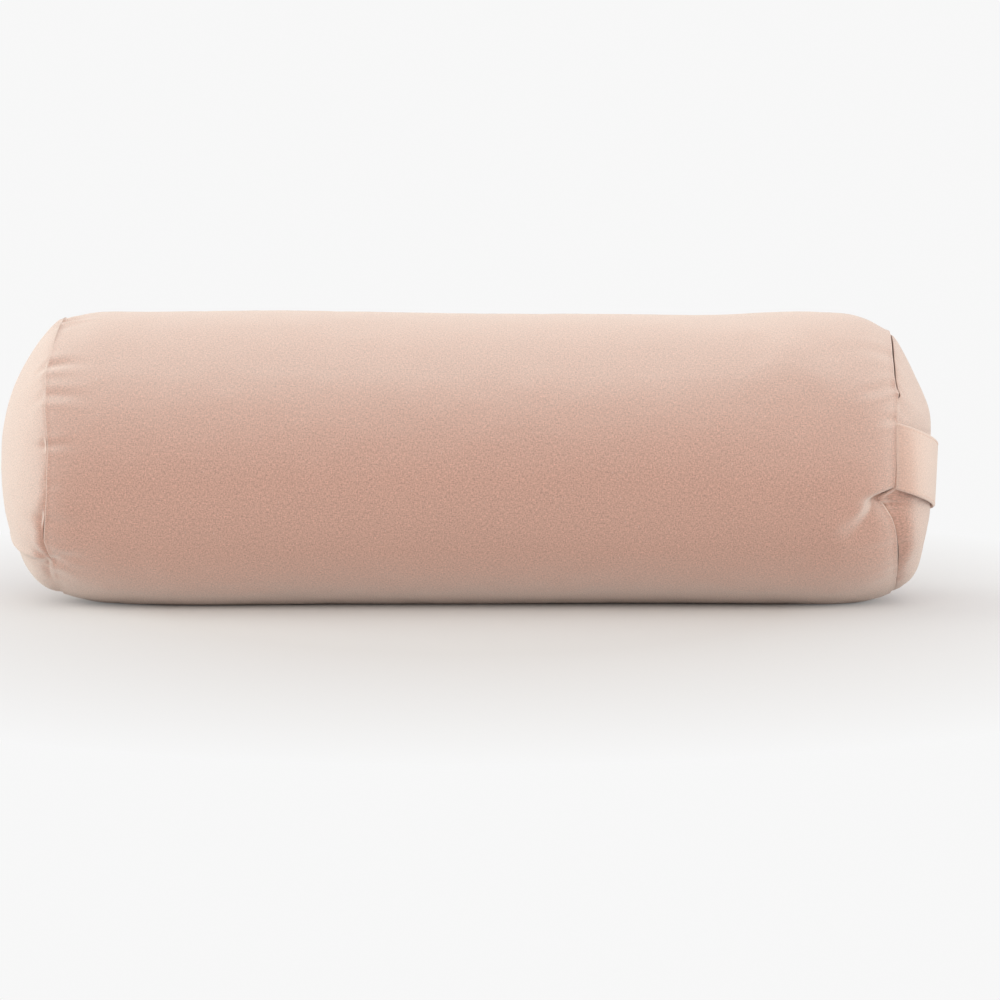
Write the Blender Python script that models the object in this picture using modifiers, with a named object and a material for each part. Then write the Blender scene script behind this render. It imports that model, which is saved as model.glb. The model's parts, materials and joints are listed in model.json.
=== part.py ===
"""A round yoga bolster: a canvas cover with an end handle and a back zip, round a lined roll of batting.

X runs along the bolster, towards the handle. -Y is the front, +Z is up, and the floor is z = 0.
An angle round the tube is 0 at the front, 90 degrees at the top and 180 degrees at the back.
"""

import math
from types import SimpleNamespace

import bmesh
import bpy
from mathutils import Matrix, Vector

MM = 0.001

# The stuffed tube
TUBE_RADIUS = 114 * MM
FLOOR_SINK = 3 * MM
SEAM_SPAN = 630 * MM
SHOULDER_LENGTH = 80 * MM
SHOULDER_POWER = 4
CENTRE_SHIFT_POWER = 1.5

# The end without a handle
PLAIN_SEAM_DRAW_IN = 7.5 * MM
PLAIN_SEAM_RISE = 2 * MM
PLAIN_DOME_HEIGHT = 47.5 * MM
PLAIN_DOME_POWER_ABOVE = 0.85
PLAIN_DOME_POWER_BELOW = 0.45

# The end with the handle
HANDLE_SEAM_DRAW_IN = 14 * MM
HANDLE_SEAM_DROP = 3.5 * MM
HANDLE_DOME_HEIGHT = 36 * MM
HANDLE_DOME_POWER_ABOVE = 0.75
HANDLE_DOME_POWER_BELOW = 0.32

# Canvas and seams
CANVAS_THICKNESS = 1.2 * MM
SEAM_ALLOWANCE = 10 * MM
SEAM_BEND_RADIUS = 3 * MM
HEM_WIDTH = 12 * MM
HEM_LAYER_GAP = 0.2 * MM
LONG_SEAM_GAP = 0.8 * MM
TOUCH_GAP = 0.3 * MM

# The carry handle
STRAP_WIDTH = 50 * MM
STRAP_THICKNESS = 2.4 * MM
STRAP_FINGER_GAP = 6 * MM
STRAP_ROLL = math.radians(6)
STRAP_DROOP = 6 * MM
STRAP_ARCH_POWER = 0.4
STRAP_FOLLOW_START = 1 / 3

# The zip
ZIP_ANGLE = math.radians(158)
ZIP_LAND_HALF_WIDTH = 18 * MM
ZIP_SLOT_LENGTH = 452 * MM
ZIP_SLOT_WIDTH = 11 * MM
ZIP_SLOT_CLOSING = 12 * MM
ZIP_CHAIN_MARGIN = 7 * MM
TAPE_WIDTH = 11 * MM
TAPE_THICKNESS = 0.8 * MM
TAPE_TAIL = 13 * MM
TOOTH_PITCH = 3.2 * MM
TOOTH_HEIGHT = 2.2 * MM
TOOTH_NECK = 0.8 * MM
TOOTH_HEAD = 1.3 * MM
TOOTH_REACH = 1.2 * MM
TOOTH_ROOT = 1.7 * MM
TOOTH_SPINE = 1.6 * MM
STOP_LENGTH = 2.6 * MM
STOP_BEVEL = 0.2 * MM
SLIDER_LENGTH = 12 * MM
SLIDER_PLATE = 1.2 * MM
SLIDER_FLANGE = 0.8 * MM
SLIDER_REAR_FLANGE = 0.5 * MM
SLIDER_NOSE_CHAMFER = 1 * MM
SLIDER_WIDENING = 2 * MM
SLIDER_POST_WIDTH = 2.6 * MM
SLIDER_POST_START = 0.8 * MM
CROWN_LENGTH = 7 * MM
CROWN_WIDTH = 2.4 * MM
CROWN_BAR = 1.1 * MM
PULL_THICKNESS = 1.2 * MM
PULL_LENGTH = 24 * MM
PULL_WIDTH = 6.6 * MM
PULL_CORNER = 1.8 * MM
PULL_EYE_LENGTH = 5 * MM
PULL_SIDE_CLEARANCE = 0.4 * MM

# The inside
LINER_THICKNESS = 0.5 * MM
LINER_NECK_SETBACK = 2.5 * MM
LINER_ALLOWANCE_CLEARANCE = 2.3 * MM
LINER_END_SLACK = 3.5 * MM
ZIP_BACK_CLEARANCE = 1 * MM
BATTING_CLEARANCE = 0.8 * MM
BATTING_THICKNESS = 21.5 * MM
BATTING_TURN_GAP = 0.5 * MM
BATTING_CORE_RADIUS = 2 * MM
BATTING_TAIL_THICKNESS = 3 * MM
BATTING_TAIL_ANGLE = math.radians(60)

# Facets
ROUND_SEGMENTS = 28
CAP_SEGMENTS = 36
FOLD_SEGMENTS = 3
SHOULDER_SHARES = (0.55, 0.85)
CAP_RINGS = 7
LINER_RINGS = 4
BATTING_STEPS_PER_TURN = 20
STRAP_ARCH_STEPS = 16
STRAP_WIDTH_STEPS = 4
BEND_STEPS = 3
CORNER_STEPS = 4

# Worked out from the sizes above
TUBE_CENTRE_HEIGHT = TUBE_RADIUS - FLOOR_SINK
PLAIN_SEAM_RADIUS = TUBE_RADIUS - PLAIN_SEAM_DRAW_IN
HANDLE_SEAM_RADIUS = TUBE_RADIUS - HANDLE_SEAM_DRAW_IN
SEAM_X = SEAM_SPAN / 2
STRAIGHT_END = SEAM_X - SHOULDER_LENGTH
LAND_ANGLE = math.asin(ZIP_LAND_HALF_WIDTH / TUBE_RADIUS)
LAND_DISTANCE = TUBE_RADIUS * math.cos(LAND_ANGLE)
FOLD_RADIUS = CANVAS_THICKNESS + HEM_LAYER_GAP / 2
SLOT_END = ZIP_SLOT_LENGTH / 2
HEM_BACK = 2 * FOLD_RADIUS
TAPE_FACE = HEM_BACK + TOUCH_GAP
CHAIN_DEPTH = TAPE_FACE + TAPE_THICKNESS / 2
PLATE_TO_CHAIN = TOOTH_HEIGHT / 2 + TOUCH_GAP
SLIDER_BACK_DEPTH = CHAIN_DEPTH + PLATE_TO_CHAIN + SLIDER_PLATE
SLIDER_FACE_DEPTH = CHAIN_DEPTH - PLATE_TO_CHAIN - SLIDER_PLATE
LINER_OUTER_DEPTH = CANVAS_THICKNESS + TOUCH_GAP
LINER_PLANE = LAND_DISTANCE - SLIDER_BACK_DEPTH - ZIP_BACK_CLEARANCE
CHAIN_END = SLOT_END - ZIP_CHAIN_MARGIN
SLIDER_X = CHAIN_END - STOP_LENGTH - TOUCH_GAP - SLIDER_LENGTH / 2
CHANNEL_HALF_WIDTH = TOOTH_ROOT + TOOTH_SPINE + 2 * TOUCH_GAP
PIVOT_HEIGHT = PULL_THICKNESS / 2 + TOUCH_GAP
CROWN_OPENING_HEIGHT = 2 * (PIVOT_HEIGHT + SLIDER_FACE_DEPTH)
STRAP_LIFT = STRAP_THICKNESS + TOUCH_GAP

PLAIN = SimpleNamespace(
    name="plain",
    side=-1,
    seam_radius=PLAIN_SEAM_RADIUS,
    centre=TUBE_CENTRE_HEIGHT + PLAIN_SEAM_RISE,
    dome=PLAIN_DOME_HEIGHT,
    above=PLAIN_DOME_POWER_ABOVE,
    below=PLAIN_DOME_POWER_BELOW,
)
HANDLE = SimpleNamespace(
    name="handle",
    side=1,
    seam_radius=HANDLE_SEAM_RADIUS,
    centre=TUBE_CENTRE_HEIGHT - HANDLE_SEAM_DROP,
    dome=HANDLE_DOME_HEIGHT,
    above=HANDLE_DOME_POWER_ABOVE,
    below=HANDLE_DOME_POWER_BELOW,
)


def smooth(share):
    """0 to 1 with level ends."""
    share = min(1.0, max(0.0, share))
    return share * share * (3 - 2 * share)


def mix(a, b, share):
    return a + (b - a) * share


def around(x, radius, angle, centre, depth=0.0):
    """A point round the tube's axis, kept above the floor by its depth under the cover's face."""
    z = centre + radius * math.sin(angle)
    return Vector((x, -radius * math.cos(angle), max(z, depth)))


# Scene set-up


def clear_scene():
    for obj in list(bpy.data.objects):
        bpy.data.objects.remove(obj, do_unlink=True)


def make_collection(name):
    collection = bpy.data.collections.new(name)
    bpy.context.scene.collection.children.link(collection)
    return collection


def srgb(*levels):
    """A colour given in 0 to 255 screen levels, as linear light."""
    return [((level / 255 + 0.055) / 1.055) ** 2.4 for level in levels] + [1.0]


def make_material(name, colour, roughness, metallic=0.0):
    material = bpy.data.materials.new(name)
    material.use_nodes = True
    shader = material.node_tree.nodes["Principled BSDF"]
    shader.inputs["Base Color"].default_value = colour
    shader.inputs["Roughness"].default_value = roughness
    shader.inputs["Metallic"].default_value = metallic
    material.diffuse_color = colour
    return material


def finish(obj, collection, material=None):
    """Names the mesh after its object, gives it its material and collection, and shades it smooth."""
    for home in list(obj.users_collection):
        home.objects.unlink(obj)
    collection.objects.link(obj)
    obj.data.name = obj.name
    if material:
        obj.data.materials.clear()
        obj.data.materials.append(material)
    obj.data.shade_smooth()
    obj.data.set_sharp_from_angle(angle=math.radians(40))
    return obj


# Sheets


def mapped_grid(name, columns, rows, place):
    """A grid primitive whose vertex at column i and row j is moved to place(i, j), facing away from the core."""
    bpy.ops.mesh.primitive_grid_add(x_subdivisions=columns, y_subdivisions=rows, size=2)
    obj = bpy.context.object
    obj.name = name
    mesh = bmesh.new()
    mesh.from_mesh(obj.data)
    for vertex in mesh.verts:
        column = round((vertex.co.x + 1) / 2 * columns)
        row = round((vertex.co.y + 1) / 2 * rows)
        vertex.co = place(column, row)
    bmesh.ops.remove_doubles(mesh, verts=mesh.verts, dist=1e-6)
    mesh.normal_update()
    core = Vector((0, 0, TUBE_CENTRE_HEIGHT))
    outward = sum(f.normal.dot(f.calc_center_median() - core) * f.calc_area() for f in mesh.faces)
    if outward < 0:
        bmesh.ops.reverse_faces(mesh, faces=mesh.faces)
    mesh.to_mesh(obj.data)
    mesh.free()
    return obj


def add_thickness(obj, thickness, offset=-1.0):
    solidify = obj.modifiers.new("cloth thickness", "SOLIDIFY")
    solidify.thickness = thickness
    solidify.offset = offset
    solidify.use_even_offset = True
    solidify.use_quality_normals = True
    return obj


# The tube's lengthwise profile


def end_at(x):
    return PLAIN if x < 0 else HANDLE


def tube_radius(x):
    share = min(1.0, max(0.0, (abs(x) - STRAIGHT_END) / SHOULDER_LENGTH))
    return mix(TUBE_RADIUS, end_at(x).seam_radius, share**SHOULDER_POWER)


def tube_centre(x):
    share = min(1.0, max(0.0, (abs(x) - STRAIGHT_END) / SHOULDER_LENGTH))
    return mix(TUBE_CENTRE_HEIGHT, end_at(x).centre, share**CENTRE_SHIFT_POWER)


def station(x, radius, lean, centre, roundness):
    """A ring of the cover: its face's place and how far its normal leans towards the end."""
    return SimpleNamespace(x=x, radius=radius, lean=lean, centre=centre, roundness=roundness)


def half_stations(end):
    """The cover's rings from the end of the zip slot, over the shoulder, to the edge of the seam allowance."""
    xs = [SLOT_END, SLOT_END + ZIP_SLOT_CLOSING]
    xs += [STRAIGHT_END + share * SHOULDER_LENGTH for share in SHOULDER_SHARES]
    rings = []
    last_slope = SHOULDER_POWER * (TUBE_RADIUS - end.seam_radius) / SHOULDER_LENGTH
    for x in xs:
        share = max(0.0, (x - STRAIGHT_END) / SHOULDER_LENGTH)
        slope = last_slope * share ** (SHOULDER_POWER - 1)
        radius = tube_radius(end.side * x)
        centre = tube_centre(end.side * x)
        rings.append(station(x, radius, math.atan(slope), centre, smooth(share)))
    face = SEAM_X - TOUCH_GAP / 2
    first_lean = math.atan(last_slope)
    bend_x = face - SEAM_BEND_RADIUS
    bend_radius = end.seam_radius - SEAM_BEND_RADIUS * math.cos(first_lean)
    for step in range(BEND_STEPS):
        lean = mix(first_lean, math.pi / 2, step / (BEND_STEPS - 1))
        x = bend_x + SEAM_BEND_RADIUS * math.sin(lean)
        radius = bend_radius + SEAM_BEND_RADIUS * math.cos(lean)
        rings.append(station(x, radius, lean, end.centre, 1.0))
    edge = end.seam_radius - SEAM_ALLOWANCE
    rings.append(station(face, edge, math.pi / 2, end.centre, 1.0))
    for ring in rings:
        ring.x *= end.side
        ring.side = end.side
    return rings


def round_angles():
    """The angles of the tube's round part, from below the zip's land right round to above it."""
    first = ZIP_ANGLE + LAND_ANGLE
    sweep = 2 * math.pi - 2 * LAND_ANGLE
    return [first + sweep * step / ROUND_SEGMENTS for step in range(ROUND_SEGMENTS + 1)]


def fold_points():
    """The hem and its fold: each point's distance back from the slot's edge and its depth."""
    points = [(HEM_WIDTH, HEM_BACK)]
    for step in range(FOLD_SEGMENTS, -1, -1):
        turn = math.pi * step / FOLD_SEGMENTS
        points.append((FOLD_RADIUS * (1 - math.sin(turn)), FOLD_RADIUS * (1 - math.cos(turn))))
    return points


def slot_half_width(x):
    closing = (abs(x) - SLOT_END) / ZIP_SLOT_CLOSING
    return mix(ZIP_SLOT_WIDTH / 2, LONG_SEAM_GAP / 2, min(1.0, max(0.0, closing)))


def on_land(ring, side, back, depth):
    """A point of the flat land at the zip. side is 1 below the zip and -1 above it."""
    across = side * (slot_half_width(ring.x) + back)
    flat = math.hypot(across, LAND_DISTANCE - depth)
    angle = ZIP_ANGLE + math.atan2(across, LAND_DISTANCE - depth)
    radius = mix(flat, ring.radius - depth * math.cos(ring.lean), ring.roundness)
    x = ring.x - ring.side * depth * math.sin(ring.lean)
    return around(x, radius, angle, ring.centre, depth)


def make_body_panel(collection, material):
    """One sheet of canvas rolled into the tube, its long edges folded under at the zip and seam."""
    rings = half_stations(PLAIN)[::-1] + half_stations(HANDLE)
    folds = fold_points()
    angles = round_angles()
    path = [(1, back, depth) for back, depth in folds]
    path += [(0, angle, 0.0) for angle in angles]
    path += [(-1, back, depth) for back, depth in folds[::-1]]

    def place(column, row):
        ring = rings[row]
        side, value, depth = path[column]
        if side == 0:
            return around(ring.x, ring.radius, value, ring.centre)
        return on_land(ring, side, value, depth)

    panel = mapped_grid("cover_body_panel", len(path) - 1, len(rings) - 1, place)
    add_thickness(panel, CANVAS_THICKNESS)
    return finish(panel, collection, material)


# End panels


def strap_angles():
    return (STRAP_ROLL, STRAP_ROLL + math.pi)


def strap_lift(angle):
    """How far the handle's ends, sewn into the seam, push the end panel's rim out."""
    segment = 2 * math.pi / CAP_SEGMENTS
    half = math.asin(STRAP_WIDTH / 2 / HANDLE_SEAM_RADIUS)
    lift = 0.0
    for middle in strap_angles():
        away = abs(math.remainder(angle - middle, 2 * math.pi))
        lift = max(lift, STRAP_LIFT * smooth((half + 3 * segment - away) / (2 * segment)))
    return lift


def dome_power(end, angle):
    """The dome is slacker above its middle than below it."""
    return mix(end.below, end.above, smooth(0.5 + math.sin(angle)))


def dome_face(end, radius, angle, lift=0.0):
    """How far the end panel's face stands out of the seam plane."""
    start = TOUCH_GAP / 2 + SEAM_BEND_RADIUS
    share = min(1.0, radius / end.seam_radius)
    rise = (end.dome - start) * (1 - share**2) ** dome_power(end, angle)
    return start + rise + lift * share**4


def make_end_panel(end, collection, material):
    """A round of canvas: its edge turned in at the seam, its middle domed out by the filling."""
    bend = [math.pi / 2 * step / BEND_STEPS for step in range(BEND_STEPS + 1)]
    rings = len(bend) + CAP_RINGS
    face = SEAM_X + TOUCH_GAP / 2

    def place(column, row):
        angle = STRAP_ROLL + 2 * math.pi * column / CAP_SEGMENTS
        lift = strap_lift(angle) if end is HANDLE else 0.0
        if row == 0:
            return around(end.side * (face + lift), end.seam_radius - SEAM_ALLOWANCE, angle, end.centre)
        if row <= len(bend):
            turn = bend[row - 1]
            radius = end.seam_radius - SEAM_BEND_RADIUS * (1 - math.sin(turn))
            x = face + lift + SEAM_BEND_RADIUS * (1 - math.cos(turn))
            return around(end.side * x, radius, angle, end.centre)
        climb = math.pi / 2 * (row - len(bend)) / CAP_RINGS
        radius = end.seam_radius * math.cos(climb) if row < rings else 0.0
        x = SEAM_X + dome_face(end, radius, angle, lift)
        return around(end.side * x, radius, angle, end.centre)

    panel = mapped_grid(f"cover_end_panel_{end.name}", CAP_SEGMENTS, rings, place)
    add_thickness(panel, CANVAS_THICKNESS)
    return finish(panel, collection, material)


# The handle


def strap_path():
    """The strap's middle line across the end: each point's distance across and out from the seam plane."""
    rim_x = TOUCH_GAP / 2 + STRAP_LIFT + SEAM_BEND_RADIUS
    rim_across = HANDLE_SEAM_RADIUS - SEAM_BEND_RADIUS
    bend = SEAM_BEND_RADIUS + TOUCH_GAP + STRAP_THICKNESS / 2
    widest = rim_across + bend
    apex = HANDLE_DOME_HEIGHT + STRAP_FINGER_GAP + STRAP_THICKNESS / 2
    start = HANDLE_SEAM_RADIUS - SEAM_ALLOWANCE
    half = [(start, rim_x - bend)]
    for step in range(BEND_STEPS + 1):
        turn = math.pi / 2 * step / BEND_STEPS
        half.append((rim_across + bend * math.sin(turn), rim_x - bend * math.cos(turn)))
    arch = []
    for step in range(1, STRAP_ARCH_STEPS):
        turn = math.pi * step / STRAP_ARCH_STEPS
        across = widest * math.cos(turn)
        rise = (1 - (across / widest) ** 2) ** STRAP_ARCH_POWER
        arch.append((across, mix(rim_x, apex, rise)))
    return half + arch + [(-across, x) for across, x in half[::-1]]


def make_strap(collection, material):
    """A folded band of canvas, its two ends caught in the end seam."""
    path = strap_path()
    widest = max(across for across, _ in path)
    out = Vector((0, -math.cos(STRAP_ROLL), math.sin(STRAP_ROLL)))
    along = Vector((0, math.sin(STRAP_ROLL), math.cos(STRAP_ROLL)))
    middle = Vector((SEAM_X, 0, HANDLE.centre))

    def place(column, row):
        across, x = path[column]
        wide = STRAP_WIDTH * (row / STRAP_WIDTH_STEPS - 0.5)
        follow = smooth((abs(across) / widest - STRAP_FOLLOW_START) / (1 - STRAP_FOLLOW_START))
        sagitta = HANDLE_SEAM_RADIUS - math.sqrt(HANDLE_SEAM_RADIUS**2 - wide**2)
        reach = across - math.copysign(sagitta * follow, across)
        droop = STRAP_DROOP * (1 - smooth(abs(across) / widest))
        return middle + out * reach + along * wide + Vector((x, 0, -droop))

    strap = mapped_grid("handle_strap", len(path) - 1, STRAP_WIDTH_STEPS, place)
    add_thickness(strap, STRAP_THICKNESS, offset=0.0)
    return finish(strap, collection, material)


# The zip, modelled in its own frame: X along it, Y across towards the lower tape, Z out of the cover


def make_zip_frame(collection):
    frame = bpy.data.objects.new("zip_line", None)
    frame.location = around(0, LAND_DISTANCE, ZIP_ANGLE, TUBE_CENTRE_HEIGHT)
    frame.rotation_euler = (math.pi / 2 - ZIP_ANGLE, 0, 0)
    frame.empty_display_size = 0.02
    collection.objects.link(frame)
    return frame


def cut_out(name, outlines, low, high):
    """A flat piece from closed outlines, the first its edge and the rest its holes, between two heights."""
    curve = bpy.data.curves.new(name, "CURVE")
    curve.dimensions = "2D"
    curve.fill_mode = "BOTH"
    curve.extrude = (high - low) / 2
    for outline in outlines:
        spline = curve.splines.new("POLY")
        spline.points.add(len(outline) - 1)
        for point, (x, y) in zip(spline.points, outline):
            point.co = (x, y, 0, 1)
        spline.use_cyclic_u = True
    source = bpy.data.objects.new(name + "_outline", curve)
    bpy.context.scene.collection.objects.link(source)
    graph = bpy.context.evaluated_depsgraph_get()
    mesh = bpy.data.meshes.new_from_object(source.evaluated_get(graph))
    bpy.data.objects.remove(source, do_unlink=True)
    welded = bmesh.new()
    welded.from_mesh(mesh)
    bmesh.ops.remove_doubles(welded, verts=welded.verts, dist=1e-6)
    bmesh.ops.translate(welded, verts=welded.verts, vec=(0, 0, (low + high) / 2))
    bmesh.ops.recalc_face_normals(welded, faces=welded.faces)
    welded.to_mesh(mesh)
    welded.free()
    return bpy.data.objects.new(name, mesh)


def block(name, x, y, z):
    """A box between the low and high limits of x, y and z."""
    mesh = bpy.data.meshes.new(name)
    shape = bmesh.new()
    bmesh.ops.create_cube(shape, size=1)
    size = Vector((x[1] - x[0], y[1] - y[0], z[1] - z[0]))
    centre = Vector((x[1] + x[0], y[1] + y[0], z[1] + z[0])) / 2
    bmesh.ops.transform(shape, matrix=Matrix.Translation(centre) @ Matrix.Diagonal(size).to_4x4(), verts=shape.verts)
    shape.to_mesh(mesh)
    shape.free()
    return bpy.data.objects.new(name, mesh)


def add_bevel(obj, width, segments=1):
    bevel = obj.modifiers.new("worn edges", "BEVEL")
    bevel.width = width
    bevel.segments = segments
    bevel.limit_method = "ANGLE"
    bevel.angle_limit = math.radians(50)
    return obj


def add_boolean(obj, other, operation, cutters, solver="EXACT"):
    other.hide_render = True
    other.display_type = "WIRE"
    for home in list(other.users_collection):
        home.objects.unlink(other)
    cutters.objects.link(other)
    boolean = obj.modifiers.new(other.name, "BOOLEAN")
    boolean.operation = operation
    boolean.solver = solver
    boolean.object = other
    return obj


def make_tapes(frame, collection, material):
    inner = TOOTH_ROOT + TOOTH_SPINE + TOUCH_GAP
    end = CHAIN_END + TAPE_TAIL
    height = (-TAPE_FACE - TAPE_THICKNESS, -TAPE_FACE)
    for name, side in (("upper", -1), ("lower", 1)):
        across = sorted((side * inner, side * (inner + TAPE_WIDTH)))
        tape = block(f"zip_tape_{name}", (-end, end), across, height)
        tape.parent = frame
        finish(tape, collection, material)


def tooth_row(side, first_tooth):
    """A comb's outline: a cord along the tape's edge, with a dovetail tooth at every pitch."""
    start = -CHAIN_END + STOP_LENGTH + TOUCH_GAP
    end = CHAIN_END - STOP_LENGTH - TOUCH_GAP
    back = TOOTH_ROOT + TOOTH_SPINE
    outline = [(end, back), (start, back), (start, TOOTH_ROOT)]
    x = start + first_tooth
    while x < SLIDER_X - TOOTH_HEAD:
        outline += [
            (x - TOOTH_NECK / 2, TOOTH_ROOT),
            (x - TOOTH_HEAD / 2, -TOOTH_REACH),
            (x + TOOTH_HEAD / 2, -TOOTH_REACH),
            (x + TOOTH_NECK / 2, TOOTH_ROOT),
        ]
        x += TOOTH_PITCH
    outline.append((end, TOOTH_ROOT))
    return [(x, side * y) for x, y in outline]


def make_teeth(frame, collection, material):
    height = (-CHAIN_DEPTH - TOOTH_HEIGHT / 2, -CHAIN_DEPTH + TOOTH_HEIGHT / 2)
    for name, side, first in (("upper", -1, TOOTH_PITCH / 2), ("lower", 1, TOOTH_PITCH)):
        row = cut_out(f"zip_teeth_{name}", [tooth_row(side, first)], *height)
        row.parent = frame
        finish(row, collection, material)


def make_stops(frame, collection, material):
    height = (-CHAIN_DEPTH - TOOTH_HEIGHT / 2, -CHAIN_DEPTH + TOOTH_HEIGHT / 2)
    outer = TOOTH_ROOT + TOOTH_SPINE
    for name, side in (("upper", -1), ("lower", 1)):
        across = sorted((side * TOOTH_ROOT, side * outer))
        stop = block(f"zip_top_stop_{name}", (CHAIN_END - STOP_LENGTH, CHAIN_END), across, height)
        stop.parent = frame
        finish(add_bevel(stop, STOP_BEVEL), collection, material)
    stop = block("zip_bottom_stop", (-CHAIN_END, -CHAIN_END + STOP_LENGTH), (-outer, outer), height)
    stop.parent = frame
    finish(add_bevel(stop, STOP_BEVEL), collection, material)


def slider_outline():
    """The slider's plan about its middle: narrow at the closed chain, wide where the rows part."""
    half = SLIDER_LENGTH / 2
    rear = CHANNEL_HALF_WIDTH + SLIDER_REAR_FLANGE
    wide = CHANNEL_HALF_WIDTH + SLIDER_FLANGE
    nose = (half - SLIDER_NOSE_CHAMFER, -wide), (half, SLIDER_NOSE_CHAMFER - wide)
    upper = [(-half, -rear), (0.0, -rear), (SLIDER_WIDENING, -wide), *nose]
    return upper + [(x, -y) for x, y in upper[::-1]]


def make_slider(frame, collection, cutters, material):
    """Two plates joined by the post that parts the rows, with side flanges and a crown for the pull."""
    face = -SLIDER_FACE_DEPTH
    back = -SLIDER_BACK_DEPTH
    overlap = SLIDER_PLATE / 4
    slider = cut_out("zip_slider", [slider_outline()], back, face)
    beyond = SLIDER_LENGTH
    channel = (back + SLIDER_PLATE, face - SLIDER_PLATE)
    wall = CHANNEL_HALF_WIDTH
    tape_slot = (-TAPE_FACE - TAPE_THICKNESS - TOUCH_GAP, -TAPE_FACE + TOUCH_GAP)
    rear = block("slider_rear_channel", (-beyond, SLIDER_POST_START), (-wall, wall), channel)
    add_boolean(slider, rear, "DIFFERENCE", cutters)
    for name, side in (("upper", -1), ("lower", 1)):
        across = sorted((side * SLIDER_POST_WIDTH / 2, side * wall))
        way = block(f"slider_channel_{name}", (-SLIDER_POST_START, beyond), across, channel)
        add_boolean(slider, way, "DIFFERENCE", cutters)
        across = sorted((side * (wall - overlap), side * (wall + 2 * SLIDER_FLANGE)))
        slot = block(f"slider_tape_slot_{name}", (-beyond, beyond), across, tape_slot)
        add_boolean(slider, slot, "DIFFERENCE", cutters)
    crown_half = CROWN_LENGTH / 2
    top = face + CROWN_OPENING_HEIGHT + CROWN_BAR
    legs = (face - overlap, top)
    crown = block("slider_crown", (-crown_half, crown_half), (-CROWN_WIDTH / 2, CROWN_WIDTH / 2), legs)
    add_bevel(crown, CROWN_BAR / 2)
    inner = crown_half - CROWN_BAR
    gap = (face - 2 * overlap, top - CROWN_BAR)
    hole = block("slider_crown_opening", (-inner, inner), (-CROWN_WIDTH, CROWN_WIDTH), gap)
    add_boolean(crown, hole, "DIFFERENCE", cutters)
    add_boolean(slider, crown, "UNION", cutters)
    for piece in [slider, *[m.object for m in slider.modifiers], hole]:
        piece.parent = frame
        piece.location = (SLIDER_X, 0, 0)
    return finish(slider, collection, material)


def pull_outline():
    """The pull's plan about its pivot: an eye round the crown, then a tab with a rounded tip."""
    bar = PULL_THICKNESS / 2
    half = PULL_WIDTH / 2
    tip = -(PULL_LENGTH - bar)
    chamfer = PULL_CORNER / 2
    edge = [(bar, -half + chamfer), (bar, half - chamfer), (bar - chamfer, half)]
    for step in range(CORNER_STEPS + 1):
        turn = math.pi / 2 * step / CORNER_STEPS
        edge.append((tip + PULL_CORNER * (1 - math.sin(turn)), half - PULL_CORNER * (1 - math.cos(turn))))
    edge += [(x, -y) for x, y in edge[:1:-1]]
    eye_half = CROWN_WIDTH / 2 + PULL_SIDE_CLEARANCE
    eye = [(-bar, -eye_half), (-bar, eye_half), (-bar - PULL_EYE_LENGTH, eye_half), (-bar - PULL_EYE_LENGTH, -eye_half)]
    return [edge, eye]


def make_pull(frame, collection, material):
    pull = cut_out("zip_pull", pull_outline(), -PULL_THICKNESS / 2, PULL_THICKNESS / 2)
    pull.parent = frame
    pull.location = (SLIDER_X, 0, PIVOT_HEIGHT)
    return finish(add_bevel(pull, PULL_THICKNESS / 5), collection, material)


# Liner and batting


def inner_ring(x, radius, centre, plane=math.inf):
    """A ring of the inside. Its plane is how far from its centre it is flattened behind the zip."""
    return SimpleNamespace(x=x, radius=radius, centre=centre, plane=plane)


def neck_of(end, inset):
    """The liner's ring inside an end seam's turned-in edges."""
    radius = end.seam_radius - SEAM_ALLOWANCE - LINER_ALLOWANCE_CLEARANCE - inset
    return inner_ring(end.side * (SEAM_X - LINER_NECK_SETBACK - inset), radius, end.centre)


def inner_rings(end, inset):
    """The liner's rings from the tube's straight part to its neck, set in by this much."""
    rings = []
    for share in (0.0,) + SHOULDER_SHARES:
        x = end.side * (STRAIGHT_END + share * SHOULDER_LENGTH)
        behind_hem = tube_radius(x) - HEM_BACK - ZIP_BACK_CLEARANCE
        plane = min(LINER_PLANE, behind_hem) - inset
        radius = tube_radius(x) - LINER_OUTER_DEPTH - inset
        rings.append(inner_ring(x - end.side * share * inset, radius, tube_centre(x), plane))
    return rings + [neck_of(end, inset)]


def inner_dome(end, inset, shift=0.0):
    """The liner's rings from its neck out to the middle of the end."""
    neck = neck_of(end, inset)
    apex = SEAM_X + end.dome - LINER_END_SLACK - inset
    start = abs(neck.x) + shift
    rings = []
    for step in range(LINER_RINGS + 1):
        climb = math.pi / 2 * step / LINER_RINGS
        radius = neck.radius * math.cos(climb) if step < LINER_RINGS else 0.0
        rings.append(inner_ring(end.side * mix(start, apex, math.sin(climb)), radius, end.centre))
    return rings


def inner_sheet(name, rings, inset):
    """A sheet over the liner's rings, flattened behind the zip and where the bolster rests."""
    angles = round_angles()
    angles.append(angles[0] + 2 * math.pi)

    def place(column, row):
        ring, angle = rings[row], angles[column]
        facing = math.cos(angle - ZIP_ANGLE)
        radius = min(ring.radius, ring.plane / facing) if facing > 0 else ring.radius
        return around(ring.x, radius, angle, ring.centre, LINER_OUTER_DEPTH + inset)

    return mapped_grid(name, len(angles) - 1, len(rings) - 1, place)


def make_liner(collection, material):
    rings = inner_rings(PLAIN, 0.0)[::-1] + inner_rings(HANDLE, 0.0)
    tube = add_thickness(inner_sheet("liner_tube", rings, 0.0), LINER_THICKNESS)
    finish(tube, collection, material)
    for end in (PLAIN, HANDLE):
        panel = inner_sheet(f"liner_end_{end.name}", inner_dome(end, 0.0, shift=TOUCH_GAP), 0.0)
        finish(add_thickness(panel, LINER_THICKNESS), collection, material)


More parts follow.
